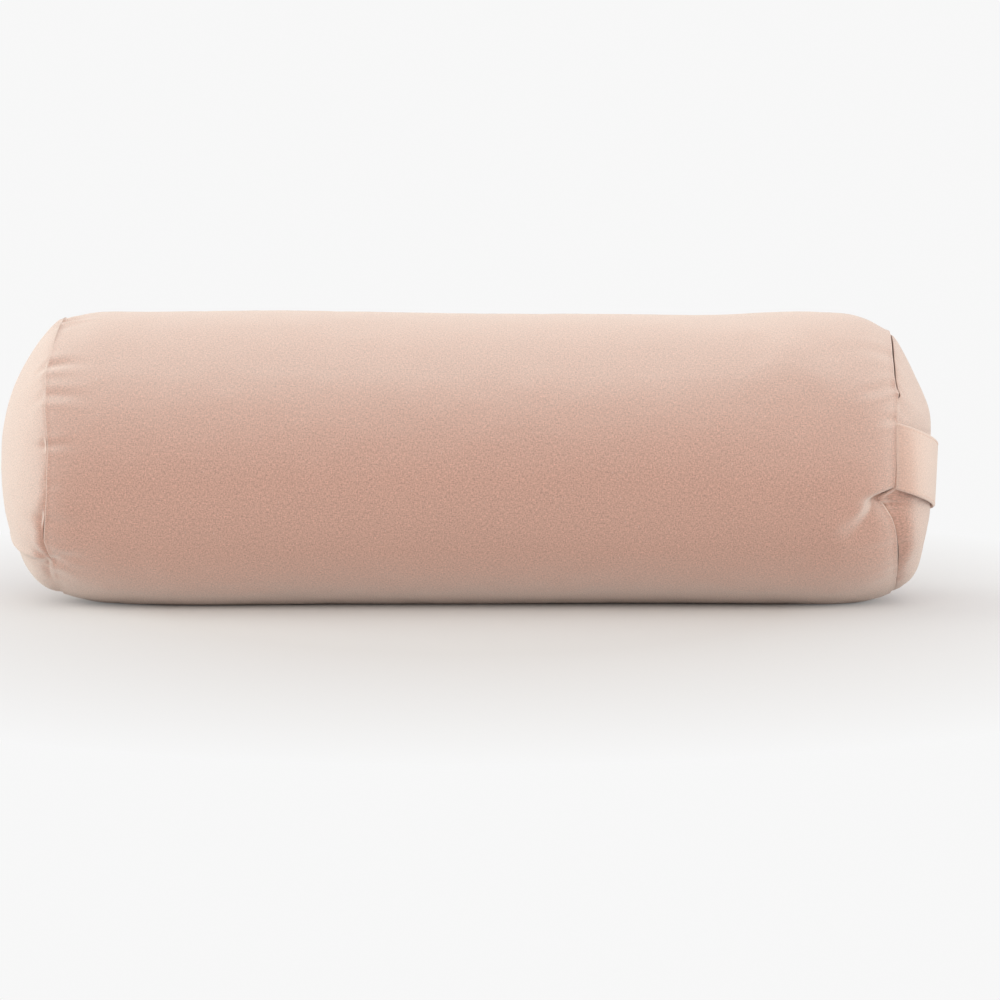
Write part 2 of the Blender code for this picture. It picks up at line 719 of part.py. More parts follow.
def batting_outline(envelope_radius):
    """The rolled sheet's edge, seen from an end: out along its inner face and back along its outer face."""
    pitch = BATTING_THICKNESS + BATTING_TURN_GAP
    last = envelope_radius - BATTING_TAIL_THICKNESS
    turns = (last - BATTING_CORE_RADIUS) / pitch
    inner, outer = [], []
    # Whole steps back from the tail keep the corners of all turns in line, and so the gap between turns even
    for step in range(math.floor(turns * BATTING_STEPS_PER_TURN), -1, -1):
        back = step / BATTING_STEPS_PER_TURN
        angle = BATTING_TAIL_ANGLE - 2 * math.pi * back
        radius = last - pitch * back
        inner.append((radius * math.cos(angle), radius * math.sin(angle)))
        radius += BATTING_THICKNESS
        outer.append((radius * math.cos(angle), radius * math.sin(angle)))
    return inner + outer[::-1]


def make_batting(collection, cutters, material):
    """A sheet of batting rolled up, then pressed to the shape that the liner holds."""
    inset = LINER_THICKNESS + BATTING_CLEARANCE
    rings = inner_dome(PLAIN, inset)[::-1] + inner_rings(PLAIN, inset)[::-1][1:]
    rings += inner_rings(HANDLE, inset)[:-1] + inner_dome(HANDLE, inset)
    envelope = inner_sheet("batting_envelope", rings, inset)
    half = SEAM_X + max(PLAIN.dome, HANDLE.dome)
    outline = batting_outline(TUBE_RADIUS - LINER_OUTER_DEPTH - inset)
    roll = cut_out("batting_roll", [outline], -half, half)
    # The roll's own X points to the front and its Y up, so that its angles are the tube's
    turn = Matrix(((0, 0, 1), (-1, 0, 0), (0, 1, 0))).to_4x4()
    flip = turn.to_3x3().determinant() < 0
    roll.data.transform(Matrix.Translation((0, 0, TUBE_CENTRE_HEIGHT)) @ turn)
    if flip:
        roll.data.flip_normals()
    add_boolean(roll, envelope, "INTERSECT", cutters, solver="MANIFOLD")
    return finish(roll, collection, material)


def main():
    clear_scene()
    bolster = make_collection("yoga_bolster")
    cutters = make_collection("cutters")
    canvas = make_material("blush canvas", srgb(214, 176, 158), 0.92)
    muslin = make_material("unbleached muslin", srgb(232, 222, 204), 0.95)
    cotton = make_material("cotton batting", srgb(240, 236, 226), 0.98)
    tape = make_material("zip tape", srgb(205, 168, 151), 0.85)
    teeth = make_material("moulded zip teeth", srgb(208, 172, 155), 0.45)
    metal = make_material("zip slider metal", srgb(190, 186, 178), 0.32, metallic=0.9)

    make_body_panel(bolster, canvas)
    make_end_panel(PLAIN, bolster, canvas)
    make_end_panel(HANDLE, bolster, canvas)
    make_strap(bolster, canvas)
    frame = make_zip_frame(bolster)
    make_tapes(frame, bolster, tape)
    make_teeth(frame, bolster, teeth)
    make_stops(frame, bolster, metal)
    make_slider(frame, bolster, cutters, metal)
    make_pull(frame, bolster, metal)
    make_liner(bolster, muslin)
    make_batting(bolster, cutters, cotton)


main()
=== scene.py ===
"""The looks of the round yoga bolster: its stuffed canvas cover, seams, handle, stitching, zip and studio.

An angle round the tube is 0 at the front (-Y), 90 degrees at the top and 180 degrees at the back.
"""

import json
import math
import random

import bpy
import numpy as np
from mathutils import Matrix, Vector, noise


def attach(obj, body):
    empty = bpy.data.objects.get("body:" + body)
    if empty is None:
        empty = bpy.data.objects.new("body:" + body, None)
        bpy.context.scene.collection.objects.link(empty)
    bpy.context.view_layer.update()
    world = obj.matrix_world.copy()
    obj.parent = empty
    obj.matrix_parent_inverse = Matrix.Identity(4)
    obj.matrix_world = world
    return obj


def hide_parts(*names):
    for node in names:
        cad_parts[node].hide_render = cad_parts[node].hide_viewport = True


MM = 0.001
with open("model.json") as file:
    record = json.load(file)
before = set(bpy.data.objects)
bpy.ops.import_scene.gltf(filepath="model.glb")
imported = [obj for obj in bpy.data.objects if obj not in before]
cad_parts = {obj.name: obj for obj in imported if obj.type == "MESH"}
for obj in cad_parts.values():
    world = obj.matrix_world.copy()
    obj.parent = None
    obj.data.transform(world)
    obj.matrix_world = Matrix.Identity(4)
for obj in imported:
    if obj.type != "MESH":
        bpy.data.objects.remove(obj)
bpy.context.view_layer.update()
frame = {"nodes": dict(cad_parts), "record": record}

# The form that the solids hold
RADIUS = 114 * MM
CENTRE = 111 * MM
SEAM_X = 315 * MM
SHOULDER = 80 * MM
PLAIN = dict(side=-1, radius=106.5 * MM, centre=113 * MM, dome=47.5 * MM, above=0.85, below=0.45)
HANDLE = dict(side=1, radius=100 * MM, centre=107.5 * MM, dome=36 * MM, above=0.75, below=0.32)
ZIP_ANGLE = math.radians(158)
LAND_HALF = 18 * MM
LAND_ANGLE = math.asin(LAND_HALF / RADIUS)
LAND_DISTANCE = RADIUS * math.cos(LAND_ANGLE)
SLOT_END = 226 * MM
SLOT_CLOSING = 12 * MM
SLOT_HALF = 5.5 * MM
LONG_SEAM_HALF = 0.4 * MM
FOLD_RADIUS = 1.3 * MM
LINER_PLANE = 105.6 * MM
LINER_INSET = 2.3 * MM
EDGE_ROLL = 1.0 * MM
HEM_WIDTH = 12 * MM
STRAP_WIDTH = 50 * MM
STRAP_THICKNESS = 2.4 * MM
STRAP_ROLL = math.radians(7)
STRAP_DROOP = 11 * MM
MIDDLE = np.array([0, 0, CENTRE])

# How far along X each seam wanders, as (angle in degrees, shift in mm)
PLAIN_PATH = [
    (-90, 0), (-62, 0), (-54.6, -1.9), (-46, -1.2), (-33, -5.7), (-22.6, -3.7), (-13.6, -1.9),
    (-4, -1.1), (5.6, 0), (13, -1), (22.5, -2.9), (30, -3), (39.5, -4.2), (50, -1.5), (65, 0.5),
    (80, 1.5), (110, 0.5), (140, -1.5), (170, 0.8), (200, -1), (235, 0.5),
]
HANDLE_PATH = [
    (-90, 6), (-67, 7), (-50, 6), (-34, 3.9), (-26.3, 1.6), (-21.4, -1.1), (-17.6, -5.1),
    (-14.9, -8.2), (-11.5, -13.6), (-7.5, -1.2), (3.8, 0.5), (19.6, 1), (31, 2.6), (34.4, 3.8),
    (38, 2.2), (42.5, 1.2), (58, 1.8), (85, 4.3), (110, 2), (150, -1), (190, 1), (230, 3),
]

# Gathers at the seams, as (angle in degrees, depth, width and length in mm, slant, depth on the end in mm)
PLAIN_GATHERS = [
    (43.5, 2.5, 3.8, 20, -0.06, 1.6),
    (29, 1.4, 3.8, 20, -0.12, 1.1),
    (8, 1.2, 3.0, 15, 0.04, 1.6),
    (-8, 0.8, 2.6, 9, 0.0, 0.5),
    (-23, 1.3, 4.8, 26, 0.0, 1.6),
    (-44, 1.6, 4.4, 18, 0.55, 1.6),
]
HANDLE_GATHERS = [
    (56, 1.2, 5.0, 26, -0.25, 0.5),
    (38, 2.4, 3.6, 17, -0.5, 0.6),
    (23, 1.5, 3.0, 9, -0.4, 0.9),
    (-36, 0.4, 5.0, 14, 0.1, 0.5),
    (-56, 0.4, 5.0, 12, 0.1, 0.6),
]

# Smaller gathers where the photograph doesn't show the seams, each value drawn between two limits
SMALL_GATHERS = 34
SMALL_PLACES = (70, 330)
SMALL_DEPTHS = (0.5, 1.7)
SMALL_WIDTHS = (2.4, 5)
SMALL_LENGTHS = (8, 26)
SMALL_SLANTS = (-0.3, 0.3)
# Beyond this angle, at the low front, they are shallower by this factor
LOW_FRONT = 285
LOW_FRONT_DEPTH = 0.4

# The fold under the handle: x and height of its two ends, and the depth of its hollow in mm
FOLD_START = np.array([301.5, 89.0]) * MM
FOLD_FINISH = np.array([268.0, 67.0]) * MM
FOLD_DEPTH = 6.2

# Height of the cloth's slight unevenness
UNEVEN = 0.3 * MM

# Slow swellings and hollows of the tube: x in mm, angle in degrees, height in mm, length in mm,
# width in degrees
LUMPS = [
    (0, 90, -2.6, 900, 42),
    (-150, 82, 1.6, 90, 40),
    (60, 84, -1.2, 120, 30),
    (175, 86, -1.6, 55, 26),
    (262, 84, 1.6, 40, 30),
    (296, 84, 2.4, 20, 34),
    (-202, -62, 2.2, 60, 26),
    (120, -70, -1.2, 90, 26),
    (-300, 70, -1.6, 12, 12),
    (-106, 66, -1.0, 9, 14),
    (222, 62, -1.3, 14, 12),
    (236, 50, 1.0, 16, 9),
    (268, 46, -1.4, 16, 8),
    (-40, 20, 0.7, 130, 14),
    (236, 47, 2.6, 60, 15),
    (250, 14, -2.4, 60, 15),
]


def smooth(t):
    """A rise from 0 to 1 with no corner at either end."""
    t = np.clip(t, 0.0, 1.0)
    return t * t * (3 - 2 * t)


def wrap(angle):
    """The angle between minus and plus half a turn."""
    return (angle + math.pi) % (2 * math.pi) - math.pi


def bell(value, width):
    """1 at zero, falling away over this width."""
    return np.exp(-((value / width) ** 2))


def mix(a, b, t):
    """a where t is 0 and b where it is 1."""
    return a + (b - a) * t


def around(x, angle, ring, centre):
    """Points at this distance from a line along X, at each angle round it."""
    return np.stack([x, -np.cos(angle) * ring, centre + np.sin(angle) * ring], -1)


def arc_length(line):
    """How far along a line of points each of them lies."""
    return np.concatenate([[0], np.cumsum(np.linalg.norm(np.diff(line, axis=0), axis=1))])


# Meshes from grids


def placed(name, data):
    """A new object of this mesh, lamp or camera, put in the scene."""
    obj = bpy.data.objects.new(name, data)
    bpy.context.scene.collection.objects.link(obj)
    return obj


def shade_smooth(mesh):
    mesh.polygons.foreach_set("use_smooth", np.ones(len(mesh.polygons), bool))


def grid_normals(points, closed):
    """Unit normals of a grid of points, by differences along its rows and columns."""
    down = np.gradient(points, axis=0)
    if closed:
        across = (np.roll(points, -1, 1) - np.roll(points, 1, 1)) / 2
    else:
        across = np.gradient(points, axis=1)
    normals = np.cross(down, across)
    return normals / np.maximum(np.linalg.norm(normals, axis=2, keepdims=True), 1e-12)


def outward(points, normals):
    """The normals turned to face away from the bolster's middle."""
    away = points - MIDDLE
    return normals * np.where((normals * away).sum() < 0, -1.0, 1.0)


def mesh_of(name, points, uv, closed=False):
    """A smooth mesh from a grid of points with its weave coordinates, in metres."""
    rows, columns = points.shape[:2]
    index = np.arange(rows * columns).reshape(rows, columns)
    last = columns if closed else columns - 1
    a = index[:-1, :last]
    b = np.roll(index, -1, 1)[:-1, :last]
    c = np.roll(index, -1, 1)[1:, :last]
    d = index[1:, :last]
    quads = np.stack([a, b, c, d], axis=-1).reshape(-1, 4)
    flat = points.reshape(-1, 3)
    corner = flat[quads[:, 0]]
    edge_1 = flat[quads[:, 1]] - corner
    edge_2 = flat[quads[:, 3]] - corner
    if (np.cross(edge_1, edge_2) * (corner - MIDDLE)).sum() < 0:
        quads = quads[:, ::-1]
    mesh = bpy.data.meshes.new(name)
    mesh.from_pydata(flat.tolist(), [], quads.tolist())
    layer = mesh.uv_layers.new(name="weave")
    loops = np.empty(len(mesh.loops), np.int32)
    mesh.loops.foreach_get("vertex_index", loops)
    layer.data.foreach_set("uv", uv.reshape(-1, 2)[loops].astype(np.float32).ravel())
    shade_smooth(mesh)
    return placed(name, mesh)


def noise_field(points, size, seed):
    """Smooth noise at each point, between about -1 and 1."""
    flat = points.reshape(-1, 3) / size + seed
    values = [noise.fractal(Vector(p), 0.9, 2.0, 3) for p in flat]
    return np.array(values).reshape(points.shape[:-1])


# The tube


def profile(x):
    """Radius and centre height of the tube at each x."""
    share = np.clip((np.abs(x) - (SEAM_X - SHOULDER)) / SHOULDER, 0, 1)
    seam_radius = np.where(x < 0, PLAIN["radius"], HANDLE["radius"])
    seam_centre = np.where(x < 0, PLAIN["centre"], HANDLE["centre"])
    return mix(RADIUS, seam_radius, share**4), mix(CENTRE, seam_centre, share**1.5)


def wander(end, angle):
    """How far the seam strays along X at each angle."""
    places, shifts = zip(*(PLAIN_PATH if end is PLAIN else HANDLE_PATH))
    near = [np.interp(np.degrees(angle) + step, places, shifts, period=360) for step in (-0.8, 0, 0.8)]
    return sum(near) / 3 * MM


def gathers(end, angle, distance, on_end):
    """Height of the puckers that run from the seam, at each angle and distance from the seam."""
    table = list(PLAIN_GATHERS if end is PLAIN else HANDLE_GATHERS)
    maker = random.Random(11 if end is PLAIN else 23)
    for _ in range(SMALL_GATHERS):
        place = maker.uniform(*SMALL_PLACES)
        depth = maker.uniform(*SMALL_DEPTHS) * (LOW_FRONT_DEPTH if place > LOW_FRONT else 1.0)
        width = maker.uniform(*SMALL_WIDTHS)
        length = maker.uniform(*SMALL_LENGTHS)
        slant = maker.uniform(*SMALL_SLANTS)
        table.append((place, depth, width, length, slant, depth / SMALL_DEPTHS[1]))
    height = np.zeros(np.broadcast(angle, distance).shape)
    for middle, depth, width, length, slant, end_depth in table:
        if on_end:
            depth, length = end_depth, length * 0.6
        across = wrap(angle - math.radians(middle)) * end["radius"] / MM - slant * distance / MM
        fade = bell(distance / MM, length) * (1 - 0.45 * np.exp(-distance / MM / 2.5))
        pucker = -bell(across, width) + 0.4 * bell(np.abs(across) - 2.1 * width, width)
        height = height + depth * pucker * fade
    return height * MM


def spot(angle, middle, width):
    """1 at an angle round the seam and 0 away from it, both given in degrees."""
    return bell(wrap(angle - math.radians(middle)), math.radians(width))


def open_part(angle):
    """Where the seam at the handle's end gapes: from above the handle to the top."""
    degrees = np.degrees(wrap(angle))
    return smooth((degrees - 32) / 3) * smooth((112 - degrees) / 30)


def groove(end, angle):
    """How deep the tube's edge sinks at its seam."""
    deep = 0.35 + 0 * angle
    if end is HANDLE:
        deep = deep - 2.6 * open_part(angle)
    return deep * MM


def seam_step(end, angle):
    """How far the end panel's rim lies below the tube's edge."""
    if end is PLAIN:
        step = 0.45 + 1.4 * spot(angle, 8, 5) + 1.6 * spot(angle, -28, 9) + 0.6 * spot(angle, 43, 5)
    else:
        step = 0.5 + 3.6 * open_part(angle) + 1.1 * spot(angle, -40, 11)
    return step * MM


def seam_gap(end, angle):
    """How far the end panel's rim lies beyond the tube's edge."""
    if end is PLAIN:
        gap = -0.45 + 0.9 * spot(angle, 8, 4) + 1.0 * spot(angle, -28, 7)
    else:
        gap = -0.45 + 1.9 * open_part(angle) + 1.2 * spot(angle, -40, 9)
    return gap * MM


def pinch_height(x, z, angle):
    """The fold under the handle: a ridge running in from the seam, the hollow below it, and a bump."""
    way = FOLD_FINISH - FOLD_START
    length = np.hypot(*way)
    way = way / length
    dx, dz = x - FOLD_START[0], z - FOLD_START[1]
    along = (dx * way[0] + dz * way[1]) / length
    below = (dz * way[0] - dx * way[1]) / MM
    front = smooth((math.pi / 2 - np.abs(wrap(angle))) / 0.3)
    reach = smooth((1.25 - along) / 0.8) * smooth((along + 0.75) / 0.3)
    spread = np.clip((along + 0.3) * 0.8, 0, 1)
    depth = FOLD_DEPTH * (1 - 0.55 * spread)
    soft = 4.5 + 11.0 * spread
    hollow = smooth(below / soft) * np.exp(-np.maximum(below - soft, 0) / (8.5 + 4 * spread))
    ridge = 0.9 * bell(below + 5.0, 8)
    bump = 1.6 * bell(np.hypot(x - FOLD_FINISH[0], z - FOLD_FINISH[1] - 1 * MM) / MM, 8)
    return ((ridge - depth * hollow) * reach + bump) * front * MM


def lump_height(x, angle):
    """Height of the tube's slow swellings and hollows."""
    height = 0
    for place, middle, amount, length, width in LUMPS:
        spread = bell(x / MM - place, length) * spot(angle, middle, width)
        height = height + amount * spread
    return height * MM


def settle(points):
    """Flattens what would lie under the floor."""
    z = points[..., 2]
    edge = 0.6 * MM
    points[..., 2] = 0.5 * (z + np.sqrt(z * z + edge * edge)) + 0.05 * MM
    return points


def tube_rows():
    """x of the tube's rows, closer together near the seams."""
    near = np.concatenate([np.arange(0, 14, 0.9), np.arange(14, 70, 1.8), np.arange(70, 313.5, 3.5)])
    half = (SEAM_X / MM - EDGE_ROLL / MM - near)[::-1]
    return np.concatenate([-half[::-1], half]) * MM


def tube_columns():
    """The cross-section's columns, from the lower hem round the tube to the upper one."""
    backs = [(HEM_WIDTH, 2 * FOLD_RADIUS), (HEM_WIDTH / 2, 2 * FOLD_RADIUS)]
    for step in range(6, -1, -1):
        turn = math.pi * step / 6
        backs.append((FOLD_RADIUS * (1 - math.sin(turn)), FOLD_RADIUS * (1 - math.cos(turn))))
    for share in (0.18, 0.3, 0.42, 0.6, 0.8):
        backs.append((mix(FOLD_RADIUS, LAND_HALF - SLOT_HALF, share), 0.0))
    first = math.degrees(ZIP_ANGLE + LAND_ANGLE)
    last = math.degrees(ZIP_ANGLE - LAND_ANGLE) + 360
    turns = [*np.linspace(first, 325, 128)[:-1], *np.linspace(325, 405, 118)[:-1]]
    turns += [*np.linspace(405, last, 88)]
    columns = [(1, back, depth) for back, depth in backs]
    columns += [(0, math.radians(turn), 0.0) for turn in turns]
    columns += [(-1, back, depth) for back, depth in backs[::-1]]
    return columns


def tube_points(x_rows, columns, inset=0.0, detail=True, moves=None):
    """The tube's face at each row and column, or the face of what lies this far inside it.

    A column is (0, angle, 0), or for a hem (side of the zip, distance from the slot, depth of the fold).
    """
    x = x_rows[:, None]
    radius, centre = profile(x)
    closing = np.clip((np.abs(x) - SLOT_END) / SLOT_CLOSING, 0, 1)
    slot = mix(SLOT_HALF, LONG_SEAM_HALF, closing)
    roundness = smooth((np.abs(x) - (SEAM_X - SHOULDER)) / SHOULDER)
    angle = np.zeros((len(x_rows), len(columns)))
    ring = np.zeros_like(angle)
    free = np.zeros_like(angle)
    for j, (side, value, depth) in enumerate(columns):
        if side == 0:
            facing = math.cos(value - ZIP_ANGLE)
            behind_zip = LINER_PLANE / facing if inset and facing > 0 else math.inf
            angle[:, j] = value
            ring[:, j] = np.minimum(radius[:, 0] - inset, behind_zip)
            land = abs(wrap(value - ZIP_ANGLE)) - LAND_ANGLE
            free[:, j] = smooth(land / math.radians(10))
        else:
            across = side * (slot + value)
            angle[:, j] = (ZIP_ANGLE + np.arctan2(across, LAND_DISTANCE - depth))[:, 0]
            flat = np.hypot(across, LAND_DISTANCE - depth)
            stitch = 0.35 * MM * bell((value - 5 * MM) / MM, 1.3) * (depth == 0)
            ring[:, j] = mix(flat, radius - depth, roundness)[:, 0] - stitch
    x = np.broadcast_to(x, angle.shape)
    centre = np.broadcast_to(centre, angle.shape)
    distance = SEAM_X - np.abs(x)
    height = lump_height(x, angle) * free
    shift = np.zeros_like(angle)
    for end in (PLAIN, HANDLE):
        here = (x * end["side"] > 0).astype(float)
        if detail:
            height = height + here * free * gathers(end, angle, distance, False)
        height = height - here * groove(end, angle) * np.exp(-distance / (5 * MM))
        height = height + here * 0.45 * MM * bell((distance - EDGE_ROLL) / MM, 1.5)
        if end is HANDLE:
            height = height + here * pinch_height(x, centre + ring * np.sin(angle), angle)
        shift = shift + here * smooth(1 - distance / (34 * MM)) * wander(end, angle)
    if moves is not None:
        row = np.interp(x, SIM_ROWS, np.arange(len(SIM_ROWS)))
        height = height + free * sample(moves, row, angle / SIM_TURN)
    if detail:
        place = around(x, angle, ring, centre)
        height = height + free * UNEVEN * noise_field(place, 26 * MM, 3.1)
    return around(x + shift, angle, ring + height, centre), angle


def turn_in(edge, angle, side, roll):
    """Rows that fold a panel's edge into the seam. side is the way the edge faces along X."""
    rows = []
    inward = np.stack([np.zeros_like(angle), np.cos(angle), -np.sin(angle)], -1)
    facing = np.array([side, 0.0, 0.0])
    for step in (1, 2, 3, 4, 5) if roll else ():
        turn = math.pi / 2 * step / 5
        rows.append(edge + facing * roll * math.sin(turn) + inward * roll * (1 - math.cos(turn)))
    base = rows[-1] if rows else edge
    rows.append(base + inward * 3 * MM)
    rows.append(base + inward * 8 * MM)
    return rows


# Cloth

SIM_ROWS = np.linspace(-1, 1, 138) * (SEAM_X - EDGE_ROLL)
SIM_COLUMNS = 154
SIM_TURN = 2 * math.pi / SIM_COLUMNS
SIM_RINGS = 26
SIM_FRAMES = 20
MOVE_CAP = 4 * MM
ON_FLOOR = 0.6 * MM
BROAD_WAVES = 5


def sample(field, rows, columns):
    """A smooth reading of a grid's values between its points; its columns run round."""
    rows = np.clip(rows, 0, field.shape[0] - 1.001)
    i, j = np.floor(rows).astype(int), np.floor(columns).astype(int)
    u, v = rows - i, columns - j
    total = 0
    for a, wa in enumerate(cubic(u)):
        line = np.clip(i + a - 1, 0, field.shape[0] - 1)
        for b, wb in enumerate(cubic(v)):
            total = total + wa * wb * field[line, (j + b - 1) % field.shape[1]]
    return total


def cubic(t):
    """Catmull-Rom weights of the four points round a place."""
    return (
        ((2 - t) * t - 1) * t / 2,
        (3 * t**3 - 5 * t**2 + 2) / 2,
        ((4 - 3 * t) * t + 1) * t / 2,
        (t - 1) * t**2 / 2,
    )


def cloth_copy(name, points, pinned, slack):
    """A cloth of these points, sewn where pinned is 1 and cut over-long where slack is 1."""
    obj = mesh_of(name, points, points[..., :2], closed=True)
    for group_name, weights in (("sewn", pinned), ("over-long", slack)):
        group = obj.vertex_groups.new(name=group_name)
        for index, weight in enumerate(weights.ravel()):
            if weight > 0.001:
                group.add([index], float(weight), "REPLACE")
    cloth = obj.modifiers.new("cloth", "CLOTH").settings
    cloth.quality = 6
    cloth.mass = 0.25
    cloth.tension_stiffness = 18
    cloth.compression_stiffness = 18
    cloth.shear_stiffness = 8
    cloth.bending_stiffness = 0.6
    cloth.use_pressure = True
    cloth.uniform_pressure_force = 4.0
    cloth.vertex_group_mass = "sewn"
    cloth.vertex_group_shrink = "over-long"
    cloth.shrink_min = 0.0
    cloth.shrink_max = -0.055
    cloth.effector_weights.gravity = 0
    return obj


def settled_moves(obj, points, away):
    """How far each point of a settled cloth moved outwards, without the cloth's broad swelling."""
    graph = bpy.context.evaluated_depsgraph_get()
    mesh = obj.evaluated_get(graph).data
    coords = np.empty(len(mesh.vertices) * 3)
    mesh.vertices.foreach_get("co", coords)
    moves = ((coords.reshape(points.shape) - points) * away).sum(-1)
    waves = np.fft.rfft(moves, axis=1)
    waves[:, :BROAD_WAVES] = 0
    moves = np.fft.irfft(waves, n=moves.shape[1], axis=1)
    bpy.data.objects.remove(obj, do_unlink=True)
    return MOVE_CAP * np.tanh(moves / MOVE_CAP)


def slack_pattern(angle, distance, seed):
    """Where the cloth is cut over-long: in uneven patches along the seams."""
    patchy = np.array([noise.noise(Vector((3.4 * math.cos(a), 3.4 * math.sin(a), seed))) for a in angle])
    patchy = np.clip(0.55 + 1.1 * patchy, 0, 1)
    return patchy[None, :] * np.exp(-distance / (32 * MM))[:, None]


def settle_cloth():
    """Lets the three canvas panels buckle under the filling's pressure, and gives each one's moves."""
    angle = np.arange(SIM_COLUMNS) * SIM_TURN
    columns = [(0, turn, 0.0) for turn in angle]
    points, _ = tube_points(SIM_ROWS, columns, detail=False)
    points = settle(points)
    pinned = np.zeros(points.shape[:2])
    pinned[[0, -1]] = 1
    pinned[points[..., 2] < ON_FLOOR] = 1
    pinned[:, np.abs(wrap(angle - ZIP_ANGLE)) < LAND_ANGLE + SIM_TURN] = 1
    slack = slack_pattern(angle, SEAM_X - np.abs(SIM_ROWS), 4.2)
    away = np.stack([0 * angle, -np.cos(angle), np.sin(angle)], -1)[None]
    jobs = [(cloth_copy("tube_cloth", points, pinned, slack), points, away + 0 * points)]
    for end, seed in ((PLAIN, 8.5), (HANDLE, 15.1)):
        face, _, distance = end_face(end, SIM_RINGS, SIM_COLUMNS)
        face = settle(face)
        pinned = np.zeros(face.shape[:2])
        pinned[0] = 1
        pinned[-4:] = 1
        pinned[face[..., 2] < ON_FLOOR] = 1
        slack = slack_pattern(angle, distance.mean(1), seed)
        normals = outward(face, grid_normals(face, True))
        jobs.append((cloth_copy(f"end_cloth_{end['side'] + 1}", face, pinned, slack), face, normals))
    for step in range(1, SIM_FRAMES + 1):
        bpy.context.scene.frame_set(step)
    moves = [settled_moves(*job) for job in jobs]
    bpy.context.scene.frame_set(1)
    return moves


def make_tube(moves):
    """The long panel of canvas, with its edges turned into both seams and its hems folded under."""
    points, angle = tube_points(tube_rows(), tube_columns(), moves=moves)
    first = turn_in(points[0], angle[0], -1, EDGE_ROLL)
    last = turn_in(points[-1], angle[-1], 1, EDGE_ROLL)
    points = settle(np.concatenate([np.array(first[::-1]), points, np.array(last)]))
    arc = arc_length(points[len(points) // 2])
    along = arc_length(points[:, 150])
    uv = np.stack(np.broadcast_arrays(along[:, None], arc[None, :]), -1)
    return mesh_of("cover_tube", points, uv)


# The ends


def dome_power(end, angle):
    """How round an end's dome is at each angle: the lower the power, the fuller its rim."""
    flatter = 0.22 * spot(angle, -14, 24) if end is PLAIN else 0
    return mix(end["below"], end["above"], smooth(0.5 + np.sin(angle))) + flatter


def end_height(end, y, z, angle, distance):
    """Dents and creases on an end panel, by distance from its seam."""
    height = gathers(end, angle, distance, True)
    if end is PLAIN:
        crease = (z - 56 * MM) / MM - 0.2 * y / MM
        front = smooth((20 - y / MM) / 30)
        set_back = smooth(-crease / 6) * np.exp(-np.maximum(-crease - 6, 0) / 28)
        height = height + front * MM * (1.1 * bell(crease - 1, 2.4) - 2.4 * set_back)
        height = height - 1.4 * MM * spot(angle, -25, 9) * bell(distance / MM, 8)
        height = height - 1.2 * MM * spot(angle, 8, 6) * bell(distance / MM, 9)
    else:
        height = height + 3.6 * MM * bell((z - 146 * MM) / MM, 20) * bell(y / MM, 62)
        height = height - 1.6 * MM * spot(angle, 28, 5) * bell(distance / MM, 14)
        height = height - 3.0 * MM * spot(angle, -12, 6) * bell(distance / MM, 14)
        height = height + 1.2 * MM * spot(angle, -62, 12) * bell(distance / MM - 22, 14)
        height = height - 1.4 * MM * spot(angle, -78, 9) * bell(distance / MM - 16, 12)
    return height


def end_face(end, rings, columns):
    """An end panel's plain face as a grid, with the angle and the distance from the seam at each point."""
    angle = np.arange(columns) * 2 * math.pi / columns
    climb = math.pi / 2 * np.linspace(0, 1, rings) ** 1.4
    share = np.cos(climb)[:, None] + 0 * angle
    share[-1] = 0.002
    angle = np.broadcast_to(angle, share.shape)
    rise = end["dome"] * np.maximum(1 - share**2, 0) ** dome_power(end, angle)
    points = around(end["side"] * (SEAM_X + rise), angle, end["radius"] * share, end["centre"])
    steps = np.linalg.norm(np.diff(points, axis=0), axis=2)
    distance = np.concatenate([np.zeros((1, columns)), np.cumsum(steps, axis=0)])
    return points, angle, distance


def make_end(end, name, moves):
    """A round of canvas, puckered and dented, with its rim sunk and turned into the seam."""
    rings, columns = 64, 400
    side = end["side"]
    points, angle, distance = end_face(end, rings, columns)
    normals = outward(points, grid_normals(points, True))
    height = end_height(end, points[..., 1], points[..., 2], angle, distance)
    height = height + UNEVEN * noise_field(points, 24 * MM, 7.7)
    if moves is not None:
        row = np.arange(rings)[:, None] * (SIM_RINGS - 1) / (rings - 1)
        height = height + sample(moves, row + 0 * angle, angle / SIM_TURN)
    points = points + normals * (height * smooth(distance / (4 * MM)))[..., None]
    inward = np.stack([np.zeros_like(angle), np.cos(angle), -np.sin(angle)], -1)
    sink = (groove(end, angle) + seam_step(end, angle)) * np.exp(-distance / (5.5 * MM))
    if end is HANDLE:
        rim_x = SEAM_X + wander(end, angle) - 4 * MM
        rim_z = end["centre"] + end["radius"] * np.sin(angle)
        sink = sink - np.minimum(pinch_height(rim_x, rim_z, angle), 0) * np.exp(-distance / (13 * MM))
    points = points + inward * sink[..., None]
    stray = wander(end, angle)
    reach = np.where(np.abs(stray) > 5 * MM, 7 * MM, 22 * MM)
    reach = (reach + np.roll(reach, 3, 1) + np.roll(reach, -3, 1)) / 3
    points[..., 0] += stray * np.exp(-distance / reach)
    points[..., 0] += side * (seam_gap(end, angle) + 0.1 * MM) * np.exp(-distance / (6 * MM))
    rim = turn_in(points[0], angle[0], -side, 0)
    points = settle(np.concatenate([np.array(rim[::-1]), points]))
    steps = np.linalg.norm(np.diff(points, axis=0), axis=2)[::-1]
    arc = np.concatenate([np.zeros((1, columns)), np.cumsum(steps, axis=0)])[::-1].mean(1)[:, None]
    uv = np.stack([arc * np.cos(angle[0]), arc * np.sin(angle[0])], -1)
    return mesh_of(name, points, uv, closed=True)


# The inside


